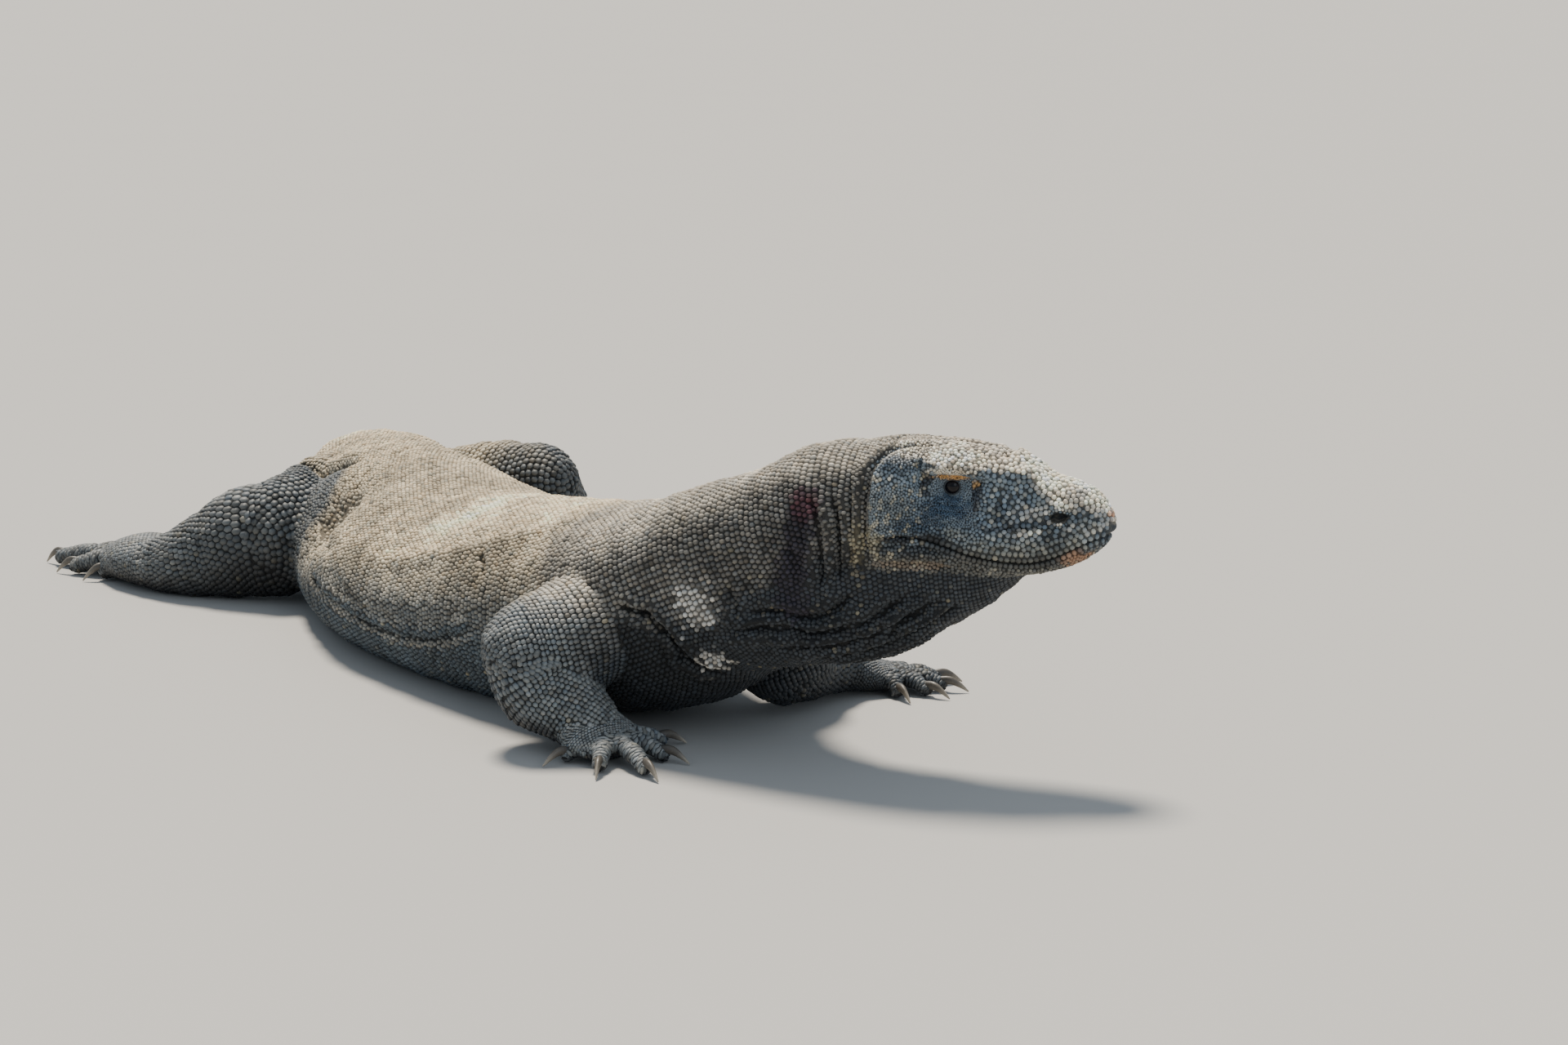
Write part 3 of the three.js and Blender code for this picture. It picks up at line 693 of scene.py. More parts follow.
local = toHead(skinPoints)
normals = pointNormals(skinPoints, skinFaces)
inZone = smoothStep(-0.012, 0.004, local[:, 0]) * (np.abs(local[:, 1]) < 0.08) * (local[:, 2] > -0.08)
onSide = smoothStep(0.012, 0.026, np.abs(local[:, 1]))
raised = np.zeros(len(skinPoints))
for line, width, depth, lip in headFolds:
    away, share = sideLine(local, line)
    raised += onSide * foldHeight(away, share, width * mm, depth * mm, lip * mm)
for along, high, reach, rise, height in headSwellings:
    near = bell(local[:, 0], along * mm, reach * mm) * bell(local[:, 2], high * mm, rise * mm)
    raised += onSide * height * mm * near
for line, width, depth, lip in headCreases:
    for fine in onBothSides(line):
        stations = np.interp(fine[:, 0], [row[0] for row in headRows], np.arange(len(headRows)))
        path = toHead(onHead(stations, fine[:, 1]))
        away, share = nearLine(local, path)
        half = 0.5 if abs(line[0][1] - 90) < 1 else 1.0  # a line on the middle is its own mirror image
        raised += half * foldHeight(away, share, width * mm, depth * mm, lip * mm)
# The lips: a swelling over the mouth, the mouth's own groove, a lower lip, and a deep corner at the back.
lipGap = local[:, 2] - mouthHeight(local[:, 0])
mouthReach = smoothStep(0.012, 0.03, local[:, 0])
corner = smoothStep(0.10, 0.05, local[:, 0])
raised += mouthReach * (
    1.7 * mm * bell(lipGap, 0.0065, 0.0042) - 3.4 * mm * bell(lipGap, -0.0004, 0.0017)
    + 0.8 * mm * bell(lipGap, -0.007, 0.004) - 4.2 * mm * corner * bell(lipGap, -0.0015, 0.0044))
# The nostril: a raised edge round a slit.
wide, high = tilted(local[:, 0] - nostril["along"], local[:, 2] - nostril["up"], nostril)
fromSlit = np.hypot(wide / nostril["stretch"], high)
raised += onSide * (1.6 * mm * bell(fromSlit, 0.0066, 0.0018) - 8 * mm * smoothStep(0.0052, 0.0030, fromSlit))
raised += 0.35 * mm * waves(skinPoints, 0.012, 8) * (np.abs(local[:, 2]) < 0.2)
skinPoints = skinPoints + normals * (raised * inZone)[:, None]

# The brow: a ledge pushed straight out over the eye, with a sharp lower edge that falls towards the snout.
brow = {"from": 62, "to": 124, "high": 51.5, "under": 5.5, "fall": 0.09, "out": 8.5, "rise": 1.5}
local = toHead(skinPoints)
hand = np.sign(local[:, 1])
along = local[:, 0] / mm
overBrow = local[:, 2] / mm - (brow["high"] - brow["fall"] * (along - brow["from"])) + brow["under"]
ledge = smoothStep(-1.4, 0.8, overBrow) * smoothStep(18, 6, overBrow) * smoothStep(
    brow["from"] - 4, brow["from"] + 4, along) * smoothStep(brow["to"] + 10, brow["to"] - 8, along)
ledge = ledge * (1 + 0.16 * waves(skinPoints, 0.011, 9))
ledge = ledge * smoothStep(0.022, 0.034, np.abs(local[:, 1]))
local[:, 1] += hand * ledge * brow["out"] * mm
local[:, 2] += ledge * brow["rise"] * mm
skinPoints = headToFloor(local) + shift

# Lids: inside the opening the skin dives behind the ball, at its edge it lies on the ball, and past that it
# comes back to the head, under the brow.
local = toHead(skinPoints)
lids = {"edge": 0.0072, "dived": 0.0058, "dive": 0.004, "thick": 0.0011, "outer": 0.0035, "blend": (0.0128, 0.0092)}
dx, dz = local[:, 0] - eye["along"], local[:, 2] - eye["up"]
opening = fromOpening(local)
ballOut = eye["out"] - eye["set"] + np.sqrt(np.maximum(eye["ball"] ** 2 - dx**2 - dz**2, 0))
dived = ballOut - lids["dive"] * smoothStep(lids["edge"], lids["dived"], opening)
lidOut = np.where(opening < lids["edge"], dived, ballOut + lids["thick"])
lidOut = np.where(np.hypot(dx, dz) > eye["ball"] * 0.93, eye["out"] + lids["outer"], lidOut)
lidShare = smoothStep(*lids["blend"], opening) * (np.abs(local[:, 1]) > 0.02)
local[:, 1] = hand * (np.abs(local[:, 1]) * (1 - lidShare) + lidOut * lidShare)
skinPoints = headToFloor(local) + shift
skinPoints[:, 2] = np.maximum(skinPoints[:, 2], 0.0)
skinNormals = pointNormals(skinPoints, skinFaces)
print("head shaped")


# ================= markings, the same rule for the skin and its scales =================

# Painted light and shade: back, flank and low, neckTop and neckSide, and limbTop, limb and limbLow are laid on by
# how far the skin faces up, paler on top and darker and bluer below; neckSide is also the painted shade of a cast
# shadow over the neck and shoulder, throat the painted shade under the neck and chest, under the apron and on the
# far arm, cheek the head's blue-grey made darker and bluer as painted shade, and crown and snout their own paler
# colours with painted light on the top.
tones = {
    "back": (0.50, 0.408, 0.274), "flank": (0.255, 0.238, 0.200), "low": (0.056, 0.074, 0.088),
    "neckTop": (0.42, 0.37, 0.295), "neckSide": (0.125, 0.118, 0.105), "throat": (0.024, 0.030, 0.037),
    "limbTop": (0.150, 0.158, 0.158), "limb": (0.092, 0.102, 0.106), "limbLow": (0.022, 0.024, 0.026),
    "chalk": (0.66, 0.63, 0.57), "streak": (0.018, 0.015, 0.025), "wine": (0.070, 0.020, 0.030),
    "crown": (0.58, 0.51, 0.41), "cheek": (0.125, 0.160, 0.192), "snout": (0.92, 0.80, 0.62),
    "labial": (0.19, 0.20, 0.185), "jaw": (0.088, 0.088, 0.080),
}
headSpots = [  # along, high, how far along and high they reach, colour, strength
    (30, 10, 25, 26, (0.145, 0.165, 0.172), 0.8), (17, -22, 8, 16, (0.42, 0.36, 0.22), 0.7),
    (38, 53, 25, 9, (0.060, 0.082, 0.105), 0.85), (160, 14, 28, 16, (0.160, 0.205, 0.25), 0.6),
    (134, 9, 6, 12, (0.04, 0.055, 0.07), 0.8), (206, 24, 12, 7, (0.16, 0.18, 0.19), 0.6),
    (84, 12, 24, 13, (0.034, 0.064, 0.105), 0.88), (58, -5, 28, 9, (0.040, 0.062, 0.088), 0.85),
    # the first is painted shade along the back of the mouth and in its corner
    (54, -18, 42, 5.5, (0.014, 0.018, 0.024), 0.95), (52, -29, 44, 7, (0.045, 0.052, 0.058), 0.75),
    # painted shade in the pit behind the brow and in the fold before the eye
    (64, 36, 6, 15, (0.018, 0.023, 0.030), 0.92), (113, 24, 6, 16, (0.030, 0.034, 0.042), 0.88),
    (92, 49, 25, 5.5, (0.64, 0.57, 0.45), 0.95), (90, 41.0, 20, 3.0, (0.60, 0.34, 0.12), 0.95),
    (112, 34, 4, 5, (0.50, 0.30, 0.12), 0.7), (54, -45, 42, 5.5, (0.26, 0.19, 0.13), 0.5),
    (211, -38, 16, 10, (0.52, 0.27, 0.15), 0.75), (241, 4, 4, 4, (0.56, 0.25, 0.12), 0.8),
    (165, -52, 34, 6, (0.10, 0.10, 0.09), 0.7), (98, 58, 30, 6.5, (0.80, 0.69, 0.52), 0.9),
    # painted shade in the nostril and in the groove back from it
    (190, 4, 13, 7, (0.040, 0.046, 0.055), 0.7), (145, -7, 44, 2.6, (0.045, 0.055, 0.068), 0.85),
    (150, -2, 40, 4.5, (0.055, 0.075, 0.10), 0.6),
]
paintedLightPools = [  # pools of painted sunlight on the floor's frame, and painted shade where how much is below 0: x, y, reach in mm, how much
    (20, -330, 120, 0.55), (-190, 240, 100, 0.36), (-60, -60, 120, -0.05), (-30, -430, 75, -0.55),
]
marks = {
    "stain": [(345, -686, 275), (338, -686, 245), (333, -676, 200), (333, -676, 172)],  # on the floor's frame, mm
    "apron": ([100, 144, 185, 218, 250, 300], [150, 145, 137, 111, 85, 70]),  # x and height of the apron's edge
    "mud": [(2.80, -26, 0.021), (2.72, -34, 0.012), (2.84, -18, 0.010), (3.23, -61, 0.016)],  # place, turn, radius
}
patches = {  # round patches on the floor's frame: the middle, where it ends and how far it is whole, in metres
    "thigh": ((-0.27, 0.10, 0.11), 0.145, 0.09), "byThigh": ((-0.275, 0.10, 0.11), 0.110, 0.085),
    "farKnee": ((0.01, 0.15, 0.11), 0.10, 0.06),
}
tints = {"tan": (0.33, 0.28, 0.17), "mottle": (0.50, 0.44, 0.31), "fleck": (0.52, 0.49, 0.38)}


def besideSpine(points):
    # how high each point is over the nearest station of the spine, as a share of the body's size there, and how
    # far outside the trunk it is
    spine = flesh[0]["tube"]
    places = np.linspace(0, 14, 80)  # from the head to where the tail is thin
    line, sizes = splineAt(spine["centre"], places), splineAt(spine["size"], places)
    away = np.linalg.norm((points[:, None, :2] - line[None, :, :2]), axis=2)
    near = away.argmin(1)
    above = points[:, 2] - line[near, 2]
    return above / np.where(above > 0, sizes[near, 1], sizes[near, 2]), (away - sizes[None, :, 0]).min(1)


def beforeCrease(local):
    # how far in front of the crease behind the head each point lies
    return local[:, 0] - 0.009 - 0.020 * smoothStep(0.045, 0.068, local[:, 2])


def inPatch(onFloor, name):
    # 1 well inside a round patch and 0 outside it, by smoothStep of the distance from its middle
    middle, end, whole = patches[name]
    return smoothStep(end, whole, np.linalg.norm(onFloor - np.array(middle), axis=1))


def toneOf(name, count):
    # the same tone for every point
    return np.array(tones[name]) * np.ones((count, 1))


def trunkTone(points, onFloor, up, share, fore):
    # Painted light and shade: low, flank and back by how far the skin faces up, the neck's tones in front, their
    # side in a painted cast shadow, the throat's painted shade below them, and pools of painted sunlight and shade.
    x, y, z = onFloor.T
    colour = mix(toneOf("low", len(points)), tones["flank"], smoothStep(-0.30, 0.42, up))
    colour = mix(colour, tones["back"], smoothStep(0.2, 0.8, up))
    neck = mix(toneOf("neckSide", len(points)), tones["neckTop"], smoothStep(0.45, 0.85, up))
    # the slanted edge of the painted cast shadow over the shoulder, in front of which the neck's tones lie
    slanted = x - 0.060 + 0.40 * (z - 0.18) + 0.005 * waves(points, 0.02, 43)
    onSide = smoothStep(-0.012, 0.012, slanted) * smoothStep(0.03, -0.02, y + 0.47 - 1.2 * (z - 0.2))
    colour = mix(colour, neck, np.maximum(0.95 * onSide, smoothStep(0.12, 0.24, x)) * fore)
    # painted shade under the neck and chest
    under = smoothStep(-0.10, -0.75, share + 0.12 * waves(points, 0.03, 39)) * smoothStep(0.02, 0.18, x) * fore
    colour = mix(colour, tones["throat"], 0.92 * under)
    # pools of painted sunlight, and painted shade where the amount is below 0
    for middleX, middleY, reach, amount in paintedLightPools:
        near = np.exp(-((x - middleX * mm) ** 2 + (y - middleY * mm) ** 2) / (reach * mm) ** 2)
        colour = colour * (1 + amount * near * smoothStep(0.0, 0.6, up))[:, None]
    return colour


def limbTone(onFloor, up):
    # Three tones by how far the skin faces up, painted light on top and painted shade below, paler on the limbs in
    # front, darker on both legs, painted shade in the near knee's shadow, and the throat's painted shade on the far
    # arm.
    x, y, z = onFloor.T
    limb = mix(toneOf("limbLow", len(onFloor)), tones["limb"], smoothStep(-0.75, 0.0, up))
    limb = mix(limb, tones["limbTop"], smoothStep(0.1, 0.9, up)) * (1 + 0.35 * smoothStep(-0.1, 0.1, x))[:, None]
    limb = limb * (1 - 0.18 * smoothStep(-0.1, 0.0, y) * smoothStep(-0.12, -0.16, x))[:, None]
    limb = limb * (1 - 0.38 * smoothStep(-0.05, 0.02, y) * smoothStep(-0.14, -0.08, x))[:, None]
    inShade = np.exp(-((x + 0.33) / 0.075) ** 2) * smoothStep(0.105, 0.03, z) * (y < 0.16)
    limb = mix(limb, np.array(tones["limbLow"]) * 0.3, 0.95 * inShade * (y > -0.1))
    # the far arm, in the painted shadow of the head
    return mix(limb, tones["throat"], 0.75 * smoothStep(0.24, 0.30, x))


def limbShareAt(points, onFloor, outside, part):
    # How much of a limb's tone each point wears: it grows over an edge outside the trunk, and starts at the crease
    # on the right thigh.
    past = smoothStep(-0.003, 0.004, pastThighCrease(points))
    edge = np.where((onFloor[:, 1] > 0.05) & (onFloor[:, 0] > -0.14), 0.025, 0.06)
    share = smoothStep(0.0, 1.0, outside / edge)
    share = share + (past - share) * inPatch(onFloor, "thigh")
    share = np.maximum(share, inPatch(onFloor, "farKnee"))
    return np.select([part == "upper", part == "spine"], [share, inPatch(onFloor, "byThigh") * past],
                     np.isin(part, ["lower", "palm", "toe"]).astype(float))


def faceTone(points, local, up):
    # Cheek over jaw, crown and snout by how far they face up, painted light on the pale top over painted bluish
    # shade on the sides, plates along the lip, ragged spots, some of them painted shade in pits and grooves,
    # mottling behind the eye, painted shade along the mouth's groove, flecks on the snout and dapples on the crown.
    along, side, high = local[:, 0], np.abs(local[:, 1]), local[:, 2]
    face = mix(toneOf("cheek", len(points)), tones["jaw"], smoothStep(-0.018, -0.036, high))
    onCrown = smoothStep(0.36, 0.60, up) * smoothStep(0.036, 0.056, high + 0.12 * (along - 0.09))
    face = mix(face, tones["crown"], onCrown)
    face = mix(face, tones["snout"], smoothStep(0.15, 0.55, up) * smoothStep(0.13, 0.18, along))
    gap = high - mouthHeight(along)
    plates = smoothStep(-0.001, 0.002, gap) * smoothStep(0.025, 0.017, gap) * smoothStep(0.065, 0.095, along)
    face = mix(face, tones["labial"], plates * (0.62 + 0.3 * waves(points, 0.02, 41)) * smoothStep(
        0.235, 0.21, along))
    for spotAlong, spotHigh, reach, rise, spot, strength in headSpots:
        near = bell(along, spotAlong * mm, reach * mm) * bell(high, spotHigh * mm, rise * mm)
        ragged = smoothStep(0.25, 0.65, near * (1 + 0.30 * waves(points, 0.009, 31)))
        offMiddle = smoothStep(0.006, 0.02, side + 0.02 * (spotAlong > 230))
        face = mix(face, np.array(spot), ragged * strength * offMiddle)
    mottle = smoothStep(0.5, 0.9, waves(points, 0.010, 32)) * smoothStep(0.0, -0.02, along - 0.075)
    face = mix(face, tints["mottle"], 0.5 * mottle * (high > -0.05))
    # painted shade along the mouth's groove
    mouthGrooveShade = bell(gap, 0.002, 0.006) * smoothStep(0.20, 0.15, along) * smoothStep(0.05, 0.07, along)
    face = face * (1 - 0.5 * mouthGrooveShade)[:, None]
    flecks = smoothStep(0.35, 0.9, waves(points, 0.006, 38)) * smoothStep(0.11, 0.13, along)
    face = mix(face, tints["fleck"], 0.30 * flecks)
    dapple = smoothStep(0.1, 0.8, waves(points, 0.0045, 45)) * smoothStep(0.045, 0.055, high) * smoothStep(
        0.135, 0.115, along)
    return face * (1 - 0.68 * dapple)[:, None]


def stained(points, colour):
    # a dark streak down the neck, wine red where it starts
    stain = np.array(marks["stain"]) * mm + shift
    away, _ = nearLine(points, stain)
    share = smoothStep(0.026, 0.008, away + 0.005 * waves(points, 0.012, 42))
    wine = smoothStep(0.024, 0.010, np.linalg.norm(points - stain[0], axis=1))
    return mix(colour, mix(toneOf("streak", len(points)), tones["wine"], wine), 0.95 * share)


def muddyAt(points):
    # ragged patches round the lines that leave the spine's tube straight out at the mud's places
    muddy = np.zeros(len(points))
    for place, turn, radius in marks["mud"]:
        middle, _ = onTube(flesh[0]["tube"], np.array([place, place]), np.radians([turn, turn]), 0.0,
                           np.array([0.7, 1.0]))
        way = unit(middle[1] - middle[0])
        towards = points - middle[0]
        off = np.linalg.norm(towards - (towards @ way)[:, None] * way, axis=1) + (towards @ way < 0)
        muddy = np.maximum(muddy, smoothStep(1.15, 0.6, off / radius + 0.5 * waves(points, 0.007, 37)))
    return muddy


def markings(points, normals, part):
    # The tones of the trunk, then the limbs', the tan patch, the painted shadow under the apron, the face, dusty
    # and sunlit paleness on the top, the stain, clouds of three sizes, and the mud.
    up, onFloor, local = normals[:, 2], points - shift, toHead(points)
    x, y, z = onFloor.T
    share, outside = besideSpine(points)
    fore = smoothStep(0.05, -0.10, y)
    colour = trunkTone(points, onFloor, up, share, fore)
    colour = mix(colour, limbTone(onFloor, up), limbShareAt(points, onFloor, outside, part))
    tanPatch = bell(x, 0.397, 0.009) * bell(z, 0.240, 0.026) * (y < -0.64)
    colour = mix(colour, tints["tan"], 0.7 * smoothStep(0.2, 0.8, tanPatch + 0.25 * waves(points, 0.008, 44)))
    # painted shadow under the apron of neck skin
    belowEdge = smoothStep(0.002, -0.010, z - np.interp(x / mm, *marks["apron"]) * mm)
    shadowUnderApron = belowEdge * ((part == "spine") | (part == "throat")) * smoothStep(0.04, 0.10, x) * fore
    colour = mix(colour, np.array(tones["throat"]) * 0.6, 0.95 * shadowUnderApron)
    onFace = smoothStep(-0.003, 0.003, beforeCrease(local)) * (part == "head")
    colour = mix(colour, faceTone(points, local, up), onFace)
    # paler in cloudy patches where the skin faces up: dust, and painted sunlight on the top
    dustAndSunlight = smoothStep(0.35, 0.95, waves(points, 0.11, 33)) * smoothStep(0.0, 0.7, up)
    colour = stained(points, mix(colour, colour * 1.25 + 0.02, dustAndSunlight))
    cloud = 1 + 0.16 * waves(points, 0.13, 34) + 0.12 * waves(points, 0.035, 35) + 0.08 * waves(points, 0.012, 36)
    return np.clip(mix(colour * cloud[:, None], tones["chalk"], 0.72 * muddyAt(points)), 0.004, 0.85)


# ================= shader nodes =================

class Wire:
    # a node's output; sums, products and powers of it add Math nodes
    def __init__(self, tree, socket):
        self.tree, self.socket = tree, socket

    def calc(self, operation, *values):
        # one Math node with the values in its sockets
        node = self.tree.nodes.new("ShaderNodeMath")
        node.operation = operation
        for slot, value in zip(node.inputs, values):
            connect(slot, value)
        return Wire(self.tree, node.outputs[0])

    def __add__(self, other):
        return self.calc("ADD", self, other)

    def __radd__(self, other):
        return self.calc("ADD", other, self)

    def __sub__(self, other):
        return self.calc("SUBTRACT", self, other)

    def __rsub__(self, other):
        return self.calc("SUBTRACT", other, self)

    def __mul__(self, other):
        return self.calc("MULTIPLY", self, other)

    def __rmul__(self, other):
        return self.calc("MULTIPLY", other, self)

    def __pow__(self, other):
        return self.calc("POWER", self, other)


def connect(slot, value):
    # links a wire to a socket, or sets the socket's own value
    if isinstance(value, Wire):
        value.tree.links.new(value.socket, slot)
    else:
        slot.default_value = value


class Finish:
    # one material and its nodes
    def __init__(self, name):
        self.material = bpy.data.materials.new(name)
        self.material.use_nodes = True
        self.tree = self.material.node_tree
        self.tree.nodes.clear()
        self.place = self.node("TexCoord", out="Object")

    def node(self, kind, settings=None, sockets=None, out=0):
        # a new node with its settings and sockets, as the wire of one of its outputs
        made = self.tree.nodes.new("ShaderNode" + kind)
        for key, value in (settings or {}).items():
            setattr(made, key, value)
        for key, value in (sockets or {}).items():
            connect(made.inputs[key], value)
        return Wire(self.tree, made.outputs[out])

    def noise(self, scale, detail):
        # cloudy noise from 0 to 1, with so many waves to a metre
        return self.node("TexNoise", {}, {"Vector": self.place, "Scale": scale, "Detail": detail})

    def attribute(self, name, out="Fac"):
        # a value or colour that the mesh's points hold
        return self.node("Attribute", {"attribute_name": name}, {}, out)

    def tinted(self, colour, amount):
        # a colour times a number
        return self.node("VectorMath", {"operation": "SCALE"}, {0: colour, "Scale": amount})

    def bump(self, height, distance, strength):
        # normals tilted by a height, whose 1 stands for the distance
        return self.node("Bump", {}, {"Height": height, "Distance": distance, "Strength": strength})

    def close(self, **sockets):
        # the surface shader, whose sockets are named with _ for a space
        shader = self.node("BsdfPrincipled", {}, {key.replace("_", " "): value for key, value in sockets.items()})
        end = self.tree.nodes.new("ShaderNodeOutputMaterial")
        self.tree.links.new(shader.socket, end.inputs["Surface"])
        return self.material


def skinFinish(name):
    # dry leather, dark with the painted shade of its tone, with granules about a millimetre across
    f = Finish(name)
    tone = f.attribute("tone", "Color")
    granules = f.node("TexVoronoi", {}, {"Vector": f.place, "Scale": 900.0}, "Distance")
    cloud = f.noise(260.0, 3.0)
    colour = f.tinted(tone, 0.55 + 0.5 * cloud - 0.35 * granules)
    bump = f.bump(cloud - granules, 0.0006, 0.8)
    return f.close(Base_Color=colour, Roughness=0.72 + 0.2 * granules, Normal=bump)


def coatFinish(name, dry, worn):
    # each scale's own colour, rubbed smoother on its crest, with fine pits and scratches
    f = Finish(name)
    tone, crest = f.attribute("tone", "Color"), f.attribute("crest")
    grain = f.noise(1400.0, 3.0)
    smear = f.noise(55.0, 3.0)
    colour = f.tinted(tone, 0.72 + 0.32 * grain + 0.24 * smear)
    roughness = dry - (dry - worn) * crest ** 2.0 + 0.18 * (grain - 0.5)
    return f.close(Base_Color=colour, Roughness=roughness, Normal=f.bump(grain, 0.00035, 0.55))


def setPoints(mesh, name, kind, values):
    # a named value or colour for every point of a mesh
    layer = mesh.attributes.new(name, kind, "POINT")
    if kind == "FLOAT_COLOR":
        layer.data.foreach_set("color", np.c_[values, np.ones(len(values))].astype(np.float32).ravel())
    else:
        layer.data.foreach_set("value", values.astype(np.float32))


skin = newMesh("skin", skinPoints, skinFaces)
skinParts = partOf[ownersAt(skinPoints)]
smoothNormals = skinNormals
skinEdges = edgesOf(skinFaces)
for _ in range(2):
    smoothNormals = unit(averageOf(smoothNormals, skinEdges, len(skinPoints)))
creaseShade = 0.42  # the skin is darker than its scales by this, as painted shade in the gaps between them
setPoints(skin.data, "tone", "FLOAT_COLOR", markings(skinPoints, smoothNormals, skinParts) * creaseShade)
skin.data.materials.append(skinFinish("skin_leather"))
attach(skin, "root")
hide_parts(*[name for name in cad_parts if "claw" not in name and "eye" not in name])
skinTree = BVHTree.FromPolygons(skinPoints.tolist(), skinFaces.tolist(), all_triangles=True)
print("skin coloured")


# ================= scales =================

beads = {  # places along a piece, spacing of its rows in mm there, and how wide a scale is for its length there
    "spine": ([0, 0.6, 1.2, 3, 4.5, 7, 12, 14, 18, 22, 26],
              [4.4, 4.8, 5.6, 6.1, 6.5, 7.2, 7.2, 6.8, 6.2, 5.0, 3.2],
              [1.0, 1.0, 1.0, 1.0, 0.86, 0.71, 0.71, 0.76, 0.82, 0.9, 1.0]),
    "throat": ([0, 2, 6], [4.2, 4.8, 5.6], [1.0, 1.0, 1.0]),
    "upper": ([0, 0.8, 2], [6.4, 7.6, 8.6], [1.0, 1.0, 1.0]),
    "lower": ([0, 2, 4], [8.8, 8.0, 6.4], [1.1, 1.0, 1.0]),
    "thigh": ([0, 1.5, 1.72, 2], [6.6, 6.8, 8.2, 8.8], [0.8, 0.85, 1.1, 1.1]),  # of the right leg
    "palm": ([0, 2], [5.8, 4.6], [1.15, 1.15]), "toe": ([0, 2, 6], [4.8, 4.9, 4.4], [1.7, 2.4, 2.3]),
    # the neck's beads, whose paler tops are painted light from above
    "neck": {"upTo": (3.4, 5.0), "height": 2.5, "plate": 0.15, "pale": 0.75},  # from the head back to these places
    # height in mm, then how far a scale leans back, how pale its top and free edge are as painted light from above,
    # and how flat and wide its top is
    "height": {"spine": 2.2, "throat": 1.3, "upper": 2.6, "lower": 2.6, "palm": 1.5, "toe": 1.3},
    "lean": {"spine": 0.25, "throat": 0.1, "upper": 0.95, "lower": 0.95, "palm": 0.7, "toe": 0.6, "head": 0.05},
    "pale": {"spine": 0.26, "throat": 0.04, "upper": 0.9, "lower": 1.0, "palm": 0.8, "toe": 0.5, "head": 0.30},
    "plate": {"spine": 0.4, "throat": 0.4, "upper": 0.8, "lower": 0.8, "palm": 0.8, "toe": 0.9, "head": 0.9},
    "curl": {"toe": 80.0},  # one over the radius that a wide scale bends round
    "arms": 0.70,  # the arms' scales are smaller by this
}
lattice = {"step": 0.88, "jitter": 0.06, "sway": 12.0, "cap": 1.56}  # rows lie closer than their spacing by step


def latticeOn(piece):
    # Rows at even steps along the tube and over its rounded ends, each parted evenly round its girth from the
    # middle of the back, every other row half a step on.
    tube, sizes = piece["tube"], beads["thigh" if piece["name"] == "leg_right_upper" else piece["part"]]
    smaller = beads["arms"] if piece["coat"].startswith("arm") and piece["part"] != "toe" else 1.0
    last = len(tube["centre"]) - 1
    places = np.linspace(0, last, 1200)
    line = splineAt(tube["centre"], places)
    walked = np.r_[0, np.cumsum(np.linalg.norm(np.diff(line, axis=0), axis=1))]
    ends = [splineAt(tube["size"], np.array([float(place)]))[0, :2].min() for place in (0, last)]
    low = -ends[0] * lattice["cap"] if piece["roundEnds"][0] else 0.0
    high = walked[-1] + (ends[1] * lattice["cap"] if piece["roundEnds"][1] else 0.0)

    def at(s, turn):
        # the tube's point after s metres of its line; past an end it goes over a round cap
        over = np.where(s < 0, s / ends[0], np.where(s > walked[-1], (s - walked[-1]) / ends[1], 0))
        return onTube(tube, np.interp(s, walked, places), turn, 0.0, np.cos(over), np.sin(over))[0]

    def pitchAt(s):
        # spacing of the rows after s metres
        return np.interp(np.interp(s, walked, places), sizes[0], sizes[1]) * mm * smaller

    fine = np.linspace(low, high, 3000)
    counted = np.r_[0, np.cumsum(np.diff(fine) / (lattice["step"] * pitchAt(fine[1:])))]
    rowPlaces = np.interp(np.arange(1, int(counted[-1])), counted, fine)
    around = np.linspace(0.5 * np.pi, 2.5 * np.pi, 121)
    rings = at(np.repeat(rowPlaces[:, None], len(around), 1), np.repeat(around[None], len(rowPlaces), 0))
    girths = np.concatenate([np.zeros((len(rings), 1)), np.cumsum(
        np.linalg.norm(np.diff(rings, axis=1), axis=2), axis=1)], 1)
    s, turn, wide = [], [], []
    for row, (place, girth) in enumerate(zip(rowPlaces, girths)):
        ratio = np.interp(np.interp(place, walked, places), sizes[0], sizes[2])
        count = max(1, int(round(girth[-1] / (pitchAt(place) * ratio) / 2)) * 2)
        shares = (np.arange(count) + 0.5 * (row % 2)) / count
        turn.append(np.interp(shares * girth[-1], girth, around))
        s.append(np.full(count, place))
        wide.append(np.full(count, girth[-1] / count))
    s, turn, wide = map(np.concatenate, (s, turn, wide))
    long, jitter, near = pitchAt(s), lattice["jitter"], 2 * mm
    s = s + random.uniform(-jitter, jitter, len(s)) * long
    turn = turn + random.uniform(-jitter, jitter, len(s)) * wide * lattice["sway"]
    behind, before = at(s - near, turn), at(s + near, turn)
    stretch = np.clip(np.linalg.norm(before - behind, axis=1) / (2 * near), 0.5, 1.5)
    return {"point": at(s, turn), "ahead": unit(before - behind), "wide": wide, "long": long * stretch,
            "along": (s - low) / (high - low), "around": (turn / (2 * np.pi) - 0.25) % 1,
            "place": np.interp(s, walked, places), "turn": turn}


def onSkin(points, reach=0.02):
    # nearest place on the skin, its smooth normal, and whether there is one in reach
    found = [skinTree.find_nearest(p, reach) for p in points.tolist()]
    good = np.array([f[0] is not None for f in found])
    hit = np.array([f[0] if f[0] is not None else (0, 0, 0) for f in found], float)
    face = np.array([f[2] if f[2] is not None else 0 for f in found])
    return hit, unit(smoothNormals[skinFaces[face]].sum(1)), good


coats = {}  # piece name: lists of scales


